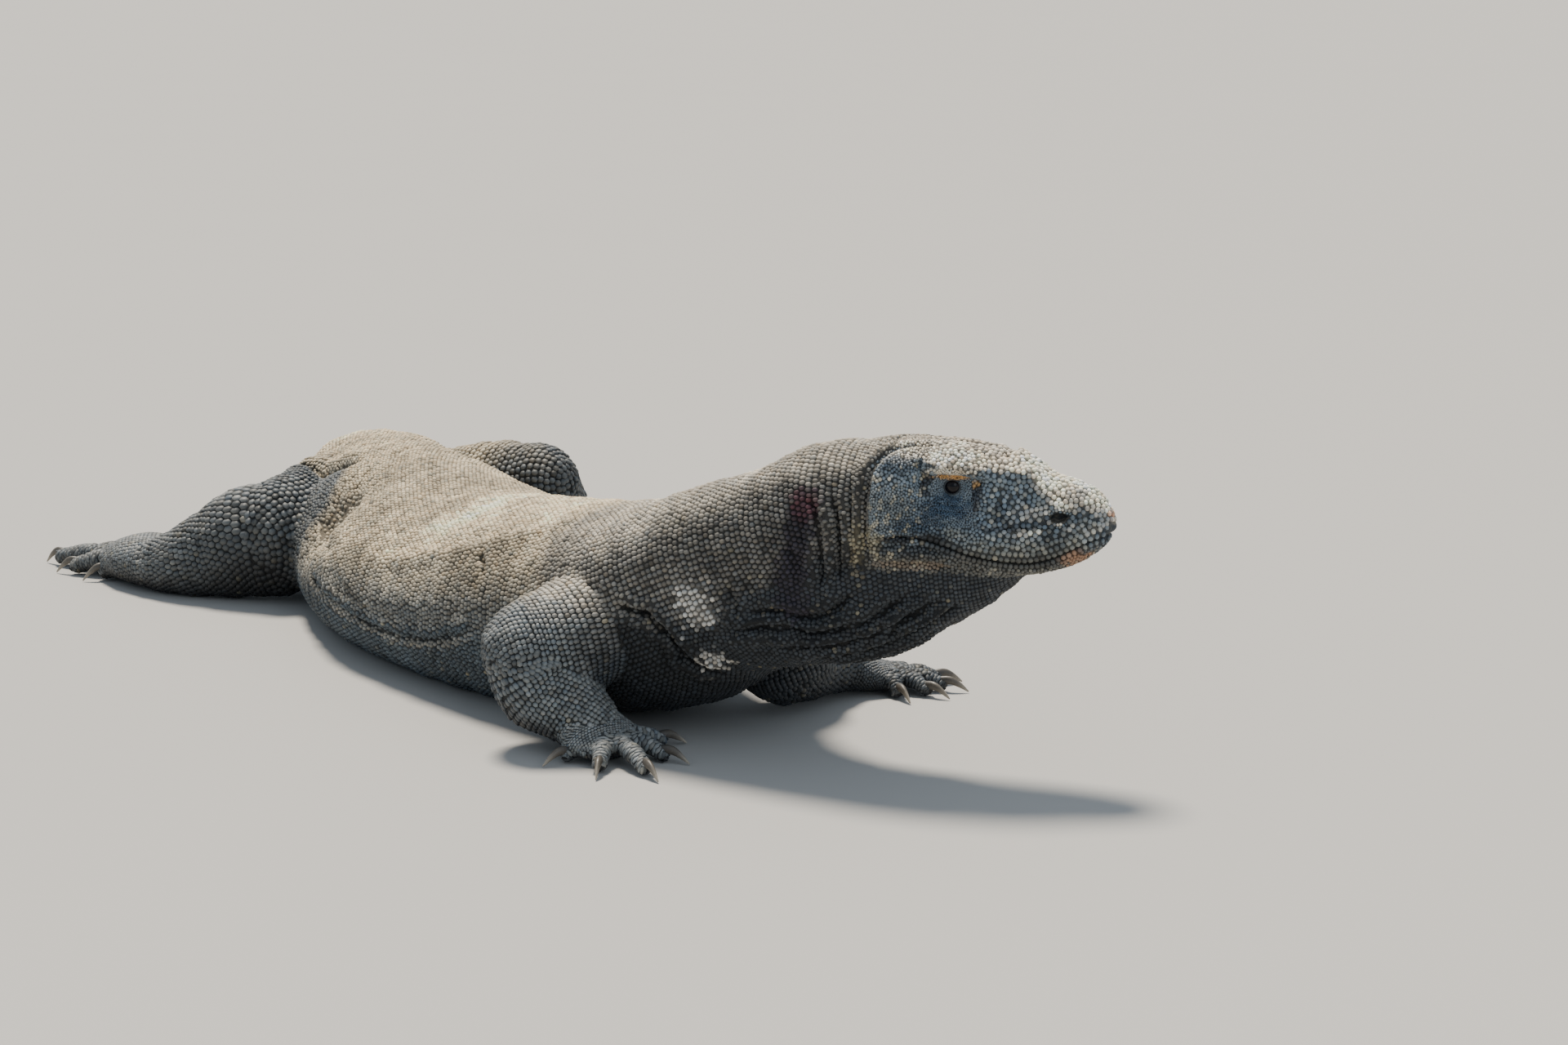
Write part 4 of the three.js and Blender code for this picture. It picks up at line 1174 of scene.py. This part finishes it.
def keepScales(coat, part, found, height, lean, pale, column=(0, 1)):
    # adds scales to a coat; column is the strip of the coat's own unwrap that they lie in
    found = dict(found)
    count = len(found["root"])
    found["tone"] = markings(found["root"], found["normal"], np.full(count, part))
    found["height"] = height * random.uniform(0.85, 1.15, count)
    found["lean"], found["pale"] = np.full(count, lean), np.full(count, pale)
    found["plate"] = np.full(count, beads["plate"][part])
    if part == "spine":
        neck, onNeck = beads["neck"], smoothStep(*beads["neck"]["upTo"][::-1], found["place"])
        found["height"] *= 1 + (neck["height"] / beads["height"]["spine"] - 1) * onNeck
        found["plate"] += (neck["plate"] - beads["plate"]["spine"]) * onNeck
        found["pale"] += (neck["pale"] - pale) * onNeck
    found["curl"] = np.full(count, beads["curl"].get(part, 0.0))
    low, high = column
    found["u"] = low + (high - low) * (0.01 + 0.98 * found["along"])
    found["v"] = 0.01 + 0.98 * found["around"]
    coats.setdefault(coat, []).append(found)


def pick(found, chosen):
    # the facts of some scales alone
    return {key: value[chosen] for key, value in found.items()}


spineCoats = [  # name, from and up to which place on the spine, and whether it is the right or the left side alone
    ("neck", 0, 3.6, None), ("chest_right", 3.6, 7.2, True), ("chest_left", 3.6, 7.2, False),
    ("flank_right", 7.2, 12, True), ("flank_left", 7.2, 12, False), ("tail", 12, 17, None),
    ("tail_end", 17, len(spineRows), None),
]
for number, piece in enumerate(flesh):
    if piece["part"] == "head":  # it gets packed beads further on
        continue
    found = latticeOn(piece)
    root, normal, good = onSkin(found["point"])
    found["root"], found["normal"] = root, normal
    owner = ownersAt(root)
    isNape = (owner == ownerByName["head"]) & (beforeCrease(toHead(root)) < 0) & (piece["name"] == "spine")
    found = pick(found, good & ((owner == number) | isNape) & (root[:, 2] > 0.0022))
    part = piece["part"]
    facts = (beads["height"][part] * mm, beads["lean"][part], beads["pale"][part])
    if part != "spine":
        keepScales(piece["coat"], part, found, *facts, piece["strip"])
        continue
    for coat, start, end, onRight in spineCoats:
        chosen = (found["place"] >= start) & (found["place"] < end)
        if onRight is not None:
            chosen &= (np.cos(found["turn"]) > 0) == onRight
        some = pick(found, chosen)
        some["along"] = (some["along"] - some["along"].min()) / np.ptp(some["along"])
        if onRight is not None:
            some["around"] = (some["around"] * 2) % 1
        keepScales(coat, part, some, *facts)
print("rows of scales laid")


def searchTree(points):
    # a tree that finds the points nearest to a place
    tree = KDTree(len(points))
    for i, point in enumerate(points.tolist()):
        tree.insert(point, i)
    tree.balance()
    return tree


def spotsOn(faces, count, sizeAt=None):
    # Random spots on some of the skin's faces: a face's chance is its area, over the square of the size there.
    corners = skinPoints[faces]
    chance = np.linalg.norm(np.cross(corners[:, 1] - corners[:, 0], corners[:, 2] - corners[:, 0]), axis=1)
    if sizeAt:
        chance = chance * (2 * mm / sizeAt(toHead(corners.mean(1)))) ** 2
    chosen = random.choice(len(faces), count, p=chance / chance.sum())
    a, b = np.sort(random.uniform(0, 1, (2, count)), axis=0)
    return (corners[chosen] * np.stack([a, b - a, 1 - b], 1)[..., None]).sum(1)


def spacedOut(points, reach):
    # Each point is kept only if it is out of reach of those kept before it.
    tree, isTaken, kept = searchTree(points), np.zeros(len(points), bool), []
    for i, point in enumerate(points.tolist()):
        if not isTaken[i]:
            kept.append(i)
            for _, j, _ in tree.find_range(point, reach[i]):
                isTaken[j] = True
    return np.array(kept)


# Bare places (seams between lattices, and folds): a random spot farther than most of a spacing from every scale
# gets one more, whose facts are the mean of its three nearest scales' facts.
bare = {"tries": 110000, "farther": 0.66, "apart": 0.8, "smaller": 0.92}
laid = {key: np.concatenate([found[key] for lists in coats.values() for found in lists])
        for key in ("root", "ahead", "wide", "long", "height", "lean", "pale", "plate", "curl", "u", "v")}
laidCoat = np.concatenate([np.full(len(found["root"]), coat) for coat, lists in coats.items() for found in lists])
laidTree = searchTree(laid["root"])
inFront = beforeCrease(toHead(skinPoints)) > 0.001
isFace = (skinParts[skinFaces] == "head").all(1) & inFront[skinFaces].all(1)
spots = spotsOn(skinFaces[~isFace], bare["tries"])
spots = spots[spots[:, 2] > 0.0024]
nearest = [laidTree.find_n(point, 3) for point in spots.tolist()]
index = np.array([[i for _, i, _ in three] for three in nearest])
away = np.array([[distance for _, _, distance in three] for three in nearest])
spacing = np.sqrt(laid["wide"][index[:, 0]] * laid["long"][index[:, 0]])
isBare = away[:, 0] > bare["farther"] * spacing
spots, index, away, spacing = spots[isBare], index[isBare], away[isBare], spacing[isBare]
kept = spacedOut(spots, bare["apart"] * spacing)
spots, index, away = spots[kept], index[kept], away[kept]
isSame = laidCoat[index] == laidCoat[index[:, :1]]
weight = isSame / np.maximum(away, 1e-4)
weight /= weight.sum(1, keepdims=True)
extra = {key: (laid[key][index] * (weight[..., None] if laid[key].ndim > 1 else weight)).sum(1) for key in laid}
root, normal, good = onSkin(spots)
extra["root"], extra["normal"], extra["ahead"] = root, normal, unit(extra["ahead"])
extra["wide"], extra["long"] = extra["wide"] * bare["smaller"], extra["long"] * bare["smaller"]
extra["tone"] = markings(root, normal, partOf[ownersAt(root)])
for coat in coats:
    coats[coat].append(pick(extra, good & (laidCoat[index[:, 0]] == coat)))
print("bare places filled:", len(kept))


# ---- the head's small scales, packed by size, and the plates along the lips ----
headBeads = {  # half the spacing in mm on each part of the head, and how many spots are tried
    "side": 1.9, "snout": 2.65, "crown": 2.2, "nape": 1.5, "temple": 2.0, "jaw": 1.4, "bag": 1.15, "lid": 0.82,
    "nostril": 1.5, "chin": 1.9, "tries": 70000,
}
lipRows = [  # how far above the mouth in mm, step along it, height of a plate, and where the row begins
    (3.6, 5.6, 6.2, 66), (9.6, 5.6, 5.8, 112), (-3.4, 5.0, 5.2, 60),
]


def headBeadSize(local):
    # half the spacing of the beads at each place on the head, in metres
    along, side, high = local[:, 0], np.abs(local[:, 1]), local[:, 2]
    size = np.full(len(local), headBeads["side"])
    size = np.where(high < mouthHeight(along) - 0.012, headBeads["chin"], size)
    size = np.where((along < 0.060) & (high < 0.034) & (high > -0.016), headBeads["jaw"], size)
    size = np.where((along < 0.058) & (high > 0.036), headBeads["temple"], size)
    size = np.where((high > 0.050) & ((side < 0.034) | (along > 0.058)), headBeads["crown"], size)
    size = np.where((high > 0.046) & (along < 0.070), headBeads["nape"], size)
    size = np.where((along > 0.122) & (high > mouthHeight(along) + 0.012), headBeads["snout"], size)
    size = np.where((along > 0.062) & (along < 0.112) & (high < 0.020) & (high > -0.006), headBeads["bag"], size)
    fromEye = np.hypot(along - eye["along"], high - eye["up"]) + (side < 0.02)
    size = np.where(fromEye < 0.021, headBeads["bag"], size)
    size = np.where(fromEye < 0.0135, headBeads["lid"], size)
    fromNostril = np.hypot(along - nostril["along"], high - nostril["middle"]) + (side < 0.02)
    return np.where(fromNostril < 0.011, headBeads["nostril"], size) * mm


def headWay(direction):
    # a direction of the head's own frame, turned to the floor's
    return headToFloor(direction) - headPlace


def headUnwrap(local):
    # shares of the way from the nape to the snout, and round the head
    return {"along": np.clip((local[:, 0] + 0.02) / 0.27, 0, 1),
            "around": (np.arctan2(local[:, 2] + 0.005, local[:, 1]) / (2 * np.pi) - 0.25) % 1}


spots = spotsOn(skinFaces[isFace], headBeads["tries"], headBeadSize)
local = toHead(spots)
gap = local[:, 2] - mouthHeight(local[:, 0])
onSide = np.abs(local[:, 1]) > 0.02
inNostril = np.hypot((local[:, 0] - nostril["along"]) / nostril["stretch"], local[:, 2] - nostril["up"]) < 0.0058
isFree = ~((fromOpening(local) < 0.0090) & onSide) & ~(inNostril & onSide)
for above, _, high, begin in lipRows:
    isFree &= ~((np.abs(gap - above * mm) < 0.62 * high * mm) & (local[:, 0] > (begin - 2) * mm))
spots = spots[isFree]
halves = headBeadSize(toHead(spots))

# The beads are packed by their sizes: spots too close to others are dropped, then pairs push each other apart.
packing = {"clear": 1.5, "seen": 2.5, "apart": 1.86, "push": 0.3, "rounds": 10, "wide": 2.12}  # in half spacings
kept = spacedOut(spots, packing["clear"] * halves)
spots, halves = spots[kept], halves[kept]
spotTree = searchTree(spots)
pairs = np.array([(i, j) for i, point in enumerate(spots.tolist())
                  for _, j, _ in spotTree.find_range(point, packing["seen"] * halves[i]) if j > i])
for _ in range(packing["rounds"]):
    gapWay = spots[pairs[:, 1]] - spots[pairs[:, 0]]
    away = np.linalg.norm(gapWay, axis=1)
    short = np.maximum(0, packing["apart"] * halves[pairs].mean(1) - away)
    push = short / np.maximum(away, 1e-6) * packing["push"]
    for axis in range(3):
        step = push * gapWay[:, axis]
        spots[:, axis] += np.bincount(pairs[:, 1], step, len(spots)) - np.bincount(pairs[:, 0], step, len(spots))
root, normal, good = onSkin(spots)
size = halves * packing["wide"]
found = pick({"root": root, "normal": normal, "wide": size, "long": size, **headUnwrap(toHead(root)),
              "ahead": np.repeat(headWay(np.array([[-1.0, 0, 0]])), len(root), 0)}, good)
keepScales("head_scales", "head", found, 0.36 * found["wide"], beads["lean"]["head"], beads["pale"]["head"])

lips = []
for row, (above, step, high, begin) in enumerate(lipRows):
    along = np.arange((begin + 1.3 * row) * mm, 0.238, step * mm)
    lips.append(np.stack([along, mouthHeight(along) + above * mm, np.full(len(along), step * mm),
                          np.full(len(along), high * mm)], 1))
lips = np.vstack(lips)
starts, ways, sizes = [], [], []
for hand in (-1, 1):
    starts.append(headToFloor(np.stack([lips[:, 0], np.full(len(lips), 0.12 * hand), lips[:, 1]], 1)) + shift)
    ways.append(np.repeat(headWay(np.array([[0.0, -hand, 0]])), len(lips), 0))
    sizes.append(lips[:, 2:])
starts, ways, sizes = map(np.vstack, (starts, ways, sizes))
hits = [skinTree.ray_cast(Vector(s), Vector(w), 0.2) for s, w in zip(starts, ways)]
isHit = np.array([h[0] is not None for h in hits])
root, normal, good = onSkin(np.array([h[0] for h in hits if h[0] is not None], float))
local = toHead(root)
slope = unit(np.stack([np.full(len(root), 0.004), np.zeros(len(root)),
                       mouthHeight(local[:, 0] + 0.002) - mouthHeight(local[:, 0] - 0.002)], 1))
found = {"root": root, "normal": normal, "wide": sizes[isHit, 1] * 1.05, "long": sizes[isHit, 0] * 1.04,
         "ahead": headWay(-slope), **headUnwrap(local)}
keepScales("head_scales", "head", found, 1.5 * mm, 0.0, 0.2)
print("head scales:", len(kept), "and", int(isHit.sum()), "on the lips")


# ---- every scale is a low dome on a six-sided rim: rim, shoulder, top ----
scaleShape = {
    "shoulder": 0.64, "shoulderHeight": 0.72, "plate": 0.2, "sink": 0.42,  # in half widths and heights
    "wide": 0.555, "long": 0.52, "longer": 0.05, "tip": 0.10, "tilt": 0.42,  # the last three grow with the lean
    "twist": 0.10, "size": (0.93, 1.06), "rimJitter": 0.07,  # how much scales differ
}
scaleTone = {
    # the rim is darker and cooler, partly as the scale's own darker edge and partly as painted shade, and the top
    # brighter as painted light
    "rim": 0.14, "top": 1.14, "rimHue": (0.8, 1.0, 1.25), "shoulder": 0.85,  # shoulder: share of the way up
    "spread": 0.20, "headSpread": (0.13, 0.18), "hue": 0.03,  # how much scales differ; small and big on the head
    "paleMost": (0.42, 0.40, 0.36), "pale": 0.42,  # of the free edge and top, painted light from above
}


def domeTemplate():
    # Six points of the rim and six of the shoulder at every 60 degrees, and the top.
    a = np.radians(np.arange(6) * 60 + 30)
    rim = np.stack([np.cos(a), np.sin(a), -scaleShape["sink"] * np.ones(6)], 1)
    shoulder = np.stack([scaleShape["shoulder"] * np.cos(a), scaleShape["shoulder"] * np.sin(a),
                         scaleShape["shoulderHeight"] * np.ones(6)], 1)
    points = np.vstack([rim, shoulder, [[0, 0, 1]]])
    k = np.arange(6)
    n = (k + 1) % 6
    faces = np.vstack([np.stack([k, n, n + 6], 1), np.stack([k, n + 6, k + 6], 1),
                       np.stack([k + 6, n + 6, k * 0 + 12], 1)])
    return points, faces, np.r_[np.zeros(6), np.full(6, scaleTone["shoulder"]), 1.0]


dome, domeFaces, domeCrest = domeTemplate()
coatSlots = {"head_scales": "head_skin", "arm_right": "limb_skin", "arm_left": "limb_skin",
             "leg_right": "limb_skin", "leg_left": "limb_skin"}
finishes = {"trunk_skin": coatFinish("scales_trunk", 0.86, 0.66),
            "head_skin": coatFinish("scales_head", 0.82, 0.56),
            "limb_skin": coatFinish("scales_limbs", 0.80, 0.50)}


def domesOf(s):
    # A dome's points go across by x, back by y and out by z. The free edge of a leaning scale stands up, and a
    # curled scale sinks at its sides by half the square of x over the radius.
    count = len(s["root"])
    back = unit(s["ahead"] - s["normal"] * (s["ahead"] * s["normal"]).sum(1)[:, None])
    twist = random.normal(0, scaleShape["twist"], count)[:, None]
    back = unit(back + np.cross(s["normal"], back) * twist)
    across = np.cross(back, s["normal"])
    grow = random.uniform(*scaleShape["size"], (count, 2))
    lean, jitter = s["lean"][:, None], scaleShape["rimJitter"]
    halfWide = s["wide"] * scaleShape["wide"] * grow[:, 0]
    halfLong = s["long"] * (scaleShape["long"] + scaleShape["longer"] * s["lean"]) * grow[:, 1]
    rimJitter = 1 + random.uniform(-jitter, jitter, (count, len(dome), 2))
    isShoulder = domeCrest == scaleTone["shoulder"]
    flatter = 1 + scaleShape["plate"] / scaleShape["shoulder"] * s["plate"][:, None] * isShoulder
    x = dome[None, :, 0] * flatter * halfWide[:, None] * rimJitter[..., 0]
    y = (dome[None, :, 1] * flatter + scaleShape["tip"] * lean * (domeCrest > 0)) * halfLong[:, None]
    y = y * rimJitter[..., 1]
    z = (dome[None, :, 2] + scaleShape["tilt"] * lean * dome[None, :, 1]) * s["height"][:, None]
    z = z - s["curl"][:, None] * x**2 / 2
    points = (s["root"][:, None] + across[:, None] * x[..., None] + back[:, None] * y[..., None]
              + s["normal"][:, None] * z[..., None]).reshape(-1, 3)
    points[:, 2] = np.maximum(points[:, 2], 0.0)
    return points


def domeTones(s, isHead):
    # Each scale's own tone, darker and cooler at the rim as painted shade over its darker edge, and brighter on
    # top and paler towards the free edge of a leaning scale as painted light.
    count, look = len(s["root"]), scaleTone
    tint = random.normal(0, 1, count)[:, None]
    hue = random.normal(0, look["hue"], (count, 1)) * np.array([[1, 0, -1.2]])
    spread = np.where(s["wide"] > 0.0042, *look["headSpread"][::-1])[:, None] if isHead else look["spread"]
    tone = s["tone"] * np.clip(1 + spread * tint + hue, 0.35, 1.8)
    crest = domeCrest[None, :, None]
    rim = look["rim"] * np.array((1.0, 1.0, 1.0) if isHead else look["rimHue"])
    rimmed = tone[:, None] * (rim + (look["top"] - rim) * crest)
    isLeaning = s["lean"][:, None] > 0.4
    distal = np.clip(crest[..., 0] * (0.45 + 0.55 * dome[None, :, 1] * isLeaning), 0, 1)
    paler = np.minimum(np.array(look["paleMost"]), tone * 2.3 + 0.01)[:, None]
    rimmed = rimmed + (paler - rimmed) * (look["pale"] * s["pale"][:, None] * distal ** 1.5)[..., None]
    return np.clip(rimmed, 0.003, 0.9).reshape(-1, 3)


bakeSpot = 0.0015  # half the size of one scale's patch in its coat's unwrap
scaleCount = 0
for coat, lists in coats.items():
    s = {key: np.concatenate([found[key] for found in lists]) for key in (*laid, "normal", "tone")}
    count = len(s["root"])
    points = domesOf(s)
    faces = (domeFaces[None] + len(dome) * np.arange(count)[:, None, None]).reshape(-1, 3)
    thing = newMesh(coat, points, faces)
    setPoints(thing.data, "tone", "FLOAT_COLOR", domeTones(s, coat == "head_scales"))
    setPoints(thing.data, "crest", "FLOAT", np.tile(domeCrest, count))
    bake = np.stack([s["u"][:, None] + bakeSpot * dome[None, :, 0],
                     s["v"][:, None] + bakeSpot * dome[None, :, 1]], 2)
    layer = thing.data.uv_layers.new(name="OFBake")
    layer.data.foreach_set("uv", np.clip(bake.reshape(-1, 2), 0, 1)[faces.ravel()].astype(np.float32).ravel())
    slot = coatSlots.get(coat, "trunk_skin")
    thing.data.materials.append(finishes[slot])
    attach(thing, "root")
    scaleCount += count
    print("coat", coat, count, "scales,", len(faces), "faces")
print("scales in all:", scaleCount)


# ================= claws =================

clawLook = {
    "length": 26, "rings": 26, "facets": 16,  # length in mm
    "root": (0.050, 0.046, 0.042), "middle": (0.10, 0.088, 0.072), "end": (0.32, 0.285, 0.23),
}


def clawRows(toes, length, way):
    # out of the toe level, then hooked down to the floor, from wide to the point
    root, radius = np.array(toes["root"], float), toes["radius"]
    rows = []
    for share, high, r in ((-0.45, radius * 0.95, 4.6), (-0.1, radius * 1.1, 6.0), (0.35, radius * 1.23, 5.16),
                           (0.75, radius * 0.82, 3.3), (1.12, 2.2, 1.0)):
        p = root + way * (length + clawLook["length"] * share)
        rows.append((p[0], p[1], high, r * 0.72, r, r * 0.8))
    return rows


def clawFinish():
    # glossy horn with fine streaks
    f = Finish("horn")
    tone = f.attribute("tone", "Color")
    streak = f.noise(420.0, 4.0)
    colour = f.tinted(tone, 0.6 + 0.8 * streak)
    return f.close(Base_Color=colour, Roughness=0.30 + 0.28 * streak, Normal=f.bump(streak, 0.0004, 0.5))


horn = clawFinish()
for limb, data in limbRows.items():
    foot = limb.replace("arm", "hand").replace("leg", "foot")
    points, faces, start = [], [], 0
    for length, turn in zip(data["lengths"], data["turns"]):
        tube = tubeOf(clawRows(data["toes"], length, heading(data["toes"]["heading"] + turn)))
        p, t = tubeSurface(tube, clawLook["rings"], clawLook["facets"], (False, True), 0.0)
        points.append(p)
        faces.append(t + start)
        start += len(p)
    points = np.vstack(points)
    points[:, 2] = np.maximum(points[:, 2], 0.0)
    claws = newMesh("claws_" + foot, points, np.vstack(faces))
    # how far along its claw each point lies: its rings and its rounded tip, then the middles of both ends
    rings = np.r_[np.linspace(0, 1, clawLook["rings"]), np.ones(len(capAngles))]
    share = np.tile(np.r_[np.repeat(rings, clawLook["facets"]), 0, 1], len(data["turns"]))
    lower = mix(np.array(clawLook["root"]) * np.ones((len(share), 1)), clawLook["middle"],
                smoothStep(0.25, 0.6, share))
    setPoints(claws.data, "tone", "FLOAT_COLOR", mix(lower, clawLook["end"], smoothStep(0.6, 1.0, share)))
    claws.data.materials.append(horn)
    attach(claws, "root")
    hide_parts(*[f"{foot}_claw_{i}" for i in range(1, 6)])
print("claws done")


# ================= eyes =================

eyeLook = {  # pupil and iris end at these angles from the axis, in radians
    "pupil": 0.34, "iris": 0.74, "cornea": 0.045, "size": 0.985, "way": (0.22, 1, 0.10), "steps": 48,
    "irisTone": (0.007, 0.006, 0.007), "dark": (0.003, 0.003, 0.005),
}


def eyeFinish():
    # dark and wet, with little shine so that it doesn't sparkle
    f = Finish("eye_wet")
    tone = f.attribute("tone", "Color")
    fleck = f.noise(1500.0, 3.0)
    colour = f.tinted(tone, 0.6 + 0.8 * fleck)
    return f.close(Base_Color=colour, Roughness=0.05, Specular_IOR_Level=0.22)


wet = eyeFinish()
for name, hand in (("right", -1), ("left", 1)):
    # A ball of rings about its outward axis, whose front swells by a bell of the angle from the axis.
    steps = eyeLook["steps"]
    angle, spin = np.meshgrid(np.linspace(0.02, np.pi - 0.02, steps), np.linspace(
        0, 2 * np.pi, steps, endpoint=False), indexing="ij")
    axis = unit(np.array(eyeLook["way"]) * (1, hand, 1))
    beside = unit(np.cross(axis, [0, 0, 1]))
    over = np.cross(beside, axis)
    radius = eye["ball"] * (eyeLook["size"] + eyeLook["cornea"] * bell(angle, 0, 0.55))
    ball = (axis * np.cos(angle)[..., None] + beside * (np.sin(angle) * np.cos(spin))[..., None]
            + over * (np.sin(angle) * np.sin(spin))[..., None]) * radius[..., None]
    centre = np.array([eye["along"], (eye["out"] - eye["set"]) * hand, eye["up"]])
    points, faces = closedGrid(headToFloor(ball + centre) + shift)
    made = newMesh("eyeball_" + name, points, faces)
    sides = np.cross(points[faces[:, 1]] - points[faces[:, 0]], points[faces[:, 2]] - points[faces[:, 0]])
    outward = ((points[faces].mean(1) - (headToFloor(centre) + shift)) * sides).sum()
    if outward < 0:
        made.data.flip_normals()
    rings = np.r_[angle.ravel(), 0, np.pi]
    isIris = smoothStep(eyeLook["pupil"] - 0.04, eyeLook["pupil"] + 0.04, rings) * smoothStep(
        eyeLook["iris"] + 0.08, eyeLook["iris"] - 0.04, rings)
    setPoints(made.data, "tone", "FLOAT_COLOR", mix(np.array(eyeLook["dark"]) * np.ones((len(rings), 1)),
                                                  eyeLook["irisTone"], isIris))
    made.data.materials.append(wet)
    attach(made, "root")
    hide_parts("eye_" + name)
print("eyes done")


# ================= floor, light and camera =================

studio = {
    "floor": (0.46, 0.45, 0.43), "key": 6.0, "keyTone": (1.0, 0.91, 0.78), "keyWay": (0.16, -0.42, -1.0),
    "fill": 30.0, "fillTone": (0.86, 0.93, 1.0), "fillPlace": (2.2, -4.2, 2.4), "sky": 0.55,
    "skyTone": (0.74, 0.86, 1.0),
}


def floorFinish():
    # matt and pale, very slightly cloudy
    f = Finish("pale_floor")
    cloud = f.noise(1.5, 2.0)
    return f.close(Base_Color=(*studio["floor"], 1), Roughness=0.85 + 0.1 * (cloud - 0.5))


floor = newMesh("floor", np.array([(-60, -30, 0), (60, -30, 0), (60, 90, 0), (-60, 90, 0)], float),
                np.array([[0, 1, 2, 3]]), smooth=False)
floor.data.materials.append(floorFinish())


def areaLight(name, place, target, size, power, colour):
    # a round lamp that faces its target
    data = bpy.data.lights.new(name, "AREA")
    data.shape, data.size, data.energy, data.color = "DISK", size, power, colour
    thing = bpy.data.objects.new(name, data)
    thing.location = place
    thing.rotation_euler = (Vector(target) - Vector(place)).to_track_quat("-Z", "Y").to_euler()
    bpy.context.scene.collection.objects.link(thing)


sun = bpy.data.lights.new("key", "SUN")
sun.energy, sun.angle, sun.color = studio["key"], math.radians(14), studio["keyTone"]
key = bpy.data.objects.new("key", sun)
key.rotation_euler = Vector(studio["keyWay"]).to_track_quat("-Z", "Y").to_euler()
bpy.context.scene.collection.objects.link(key)
areaLight("fill", studio["fillPlace"], (0.1, -0.3, 0.15), 3.0, studio["fill"], studio["fillTone"])
world = bpy.data.worlds.new("soft_sky")
world.use_nodes = True
sky = world.node_tree.nodes["Background"].inputs
sky["Color"].default_value, sky["Strength"].default_value = (*studio["skyTone"], 1), studio["sky"]
bpy.context.scene.world = world

view = {"place": (0.325, -3.6, 0.85), "pitch": 11.5, "lens": 70.0}
camera = bpy.data.objects.new("camera", bpy.data.cameras.new("camera"))
camera.data.lens, camera.data.sensor_width = view["lens"], 36.0
camera.data.clip_end = 200.0
camera.location = Vector(view["place"]) + Vector(shift)
camera.rotation_euler = (math.radians(90 - view["pitch"]), 0, 0)
bpy.context.scene.collection.objects.link(camera)
bpy.context.scene.camera = camera
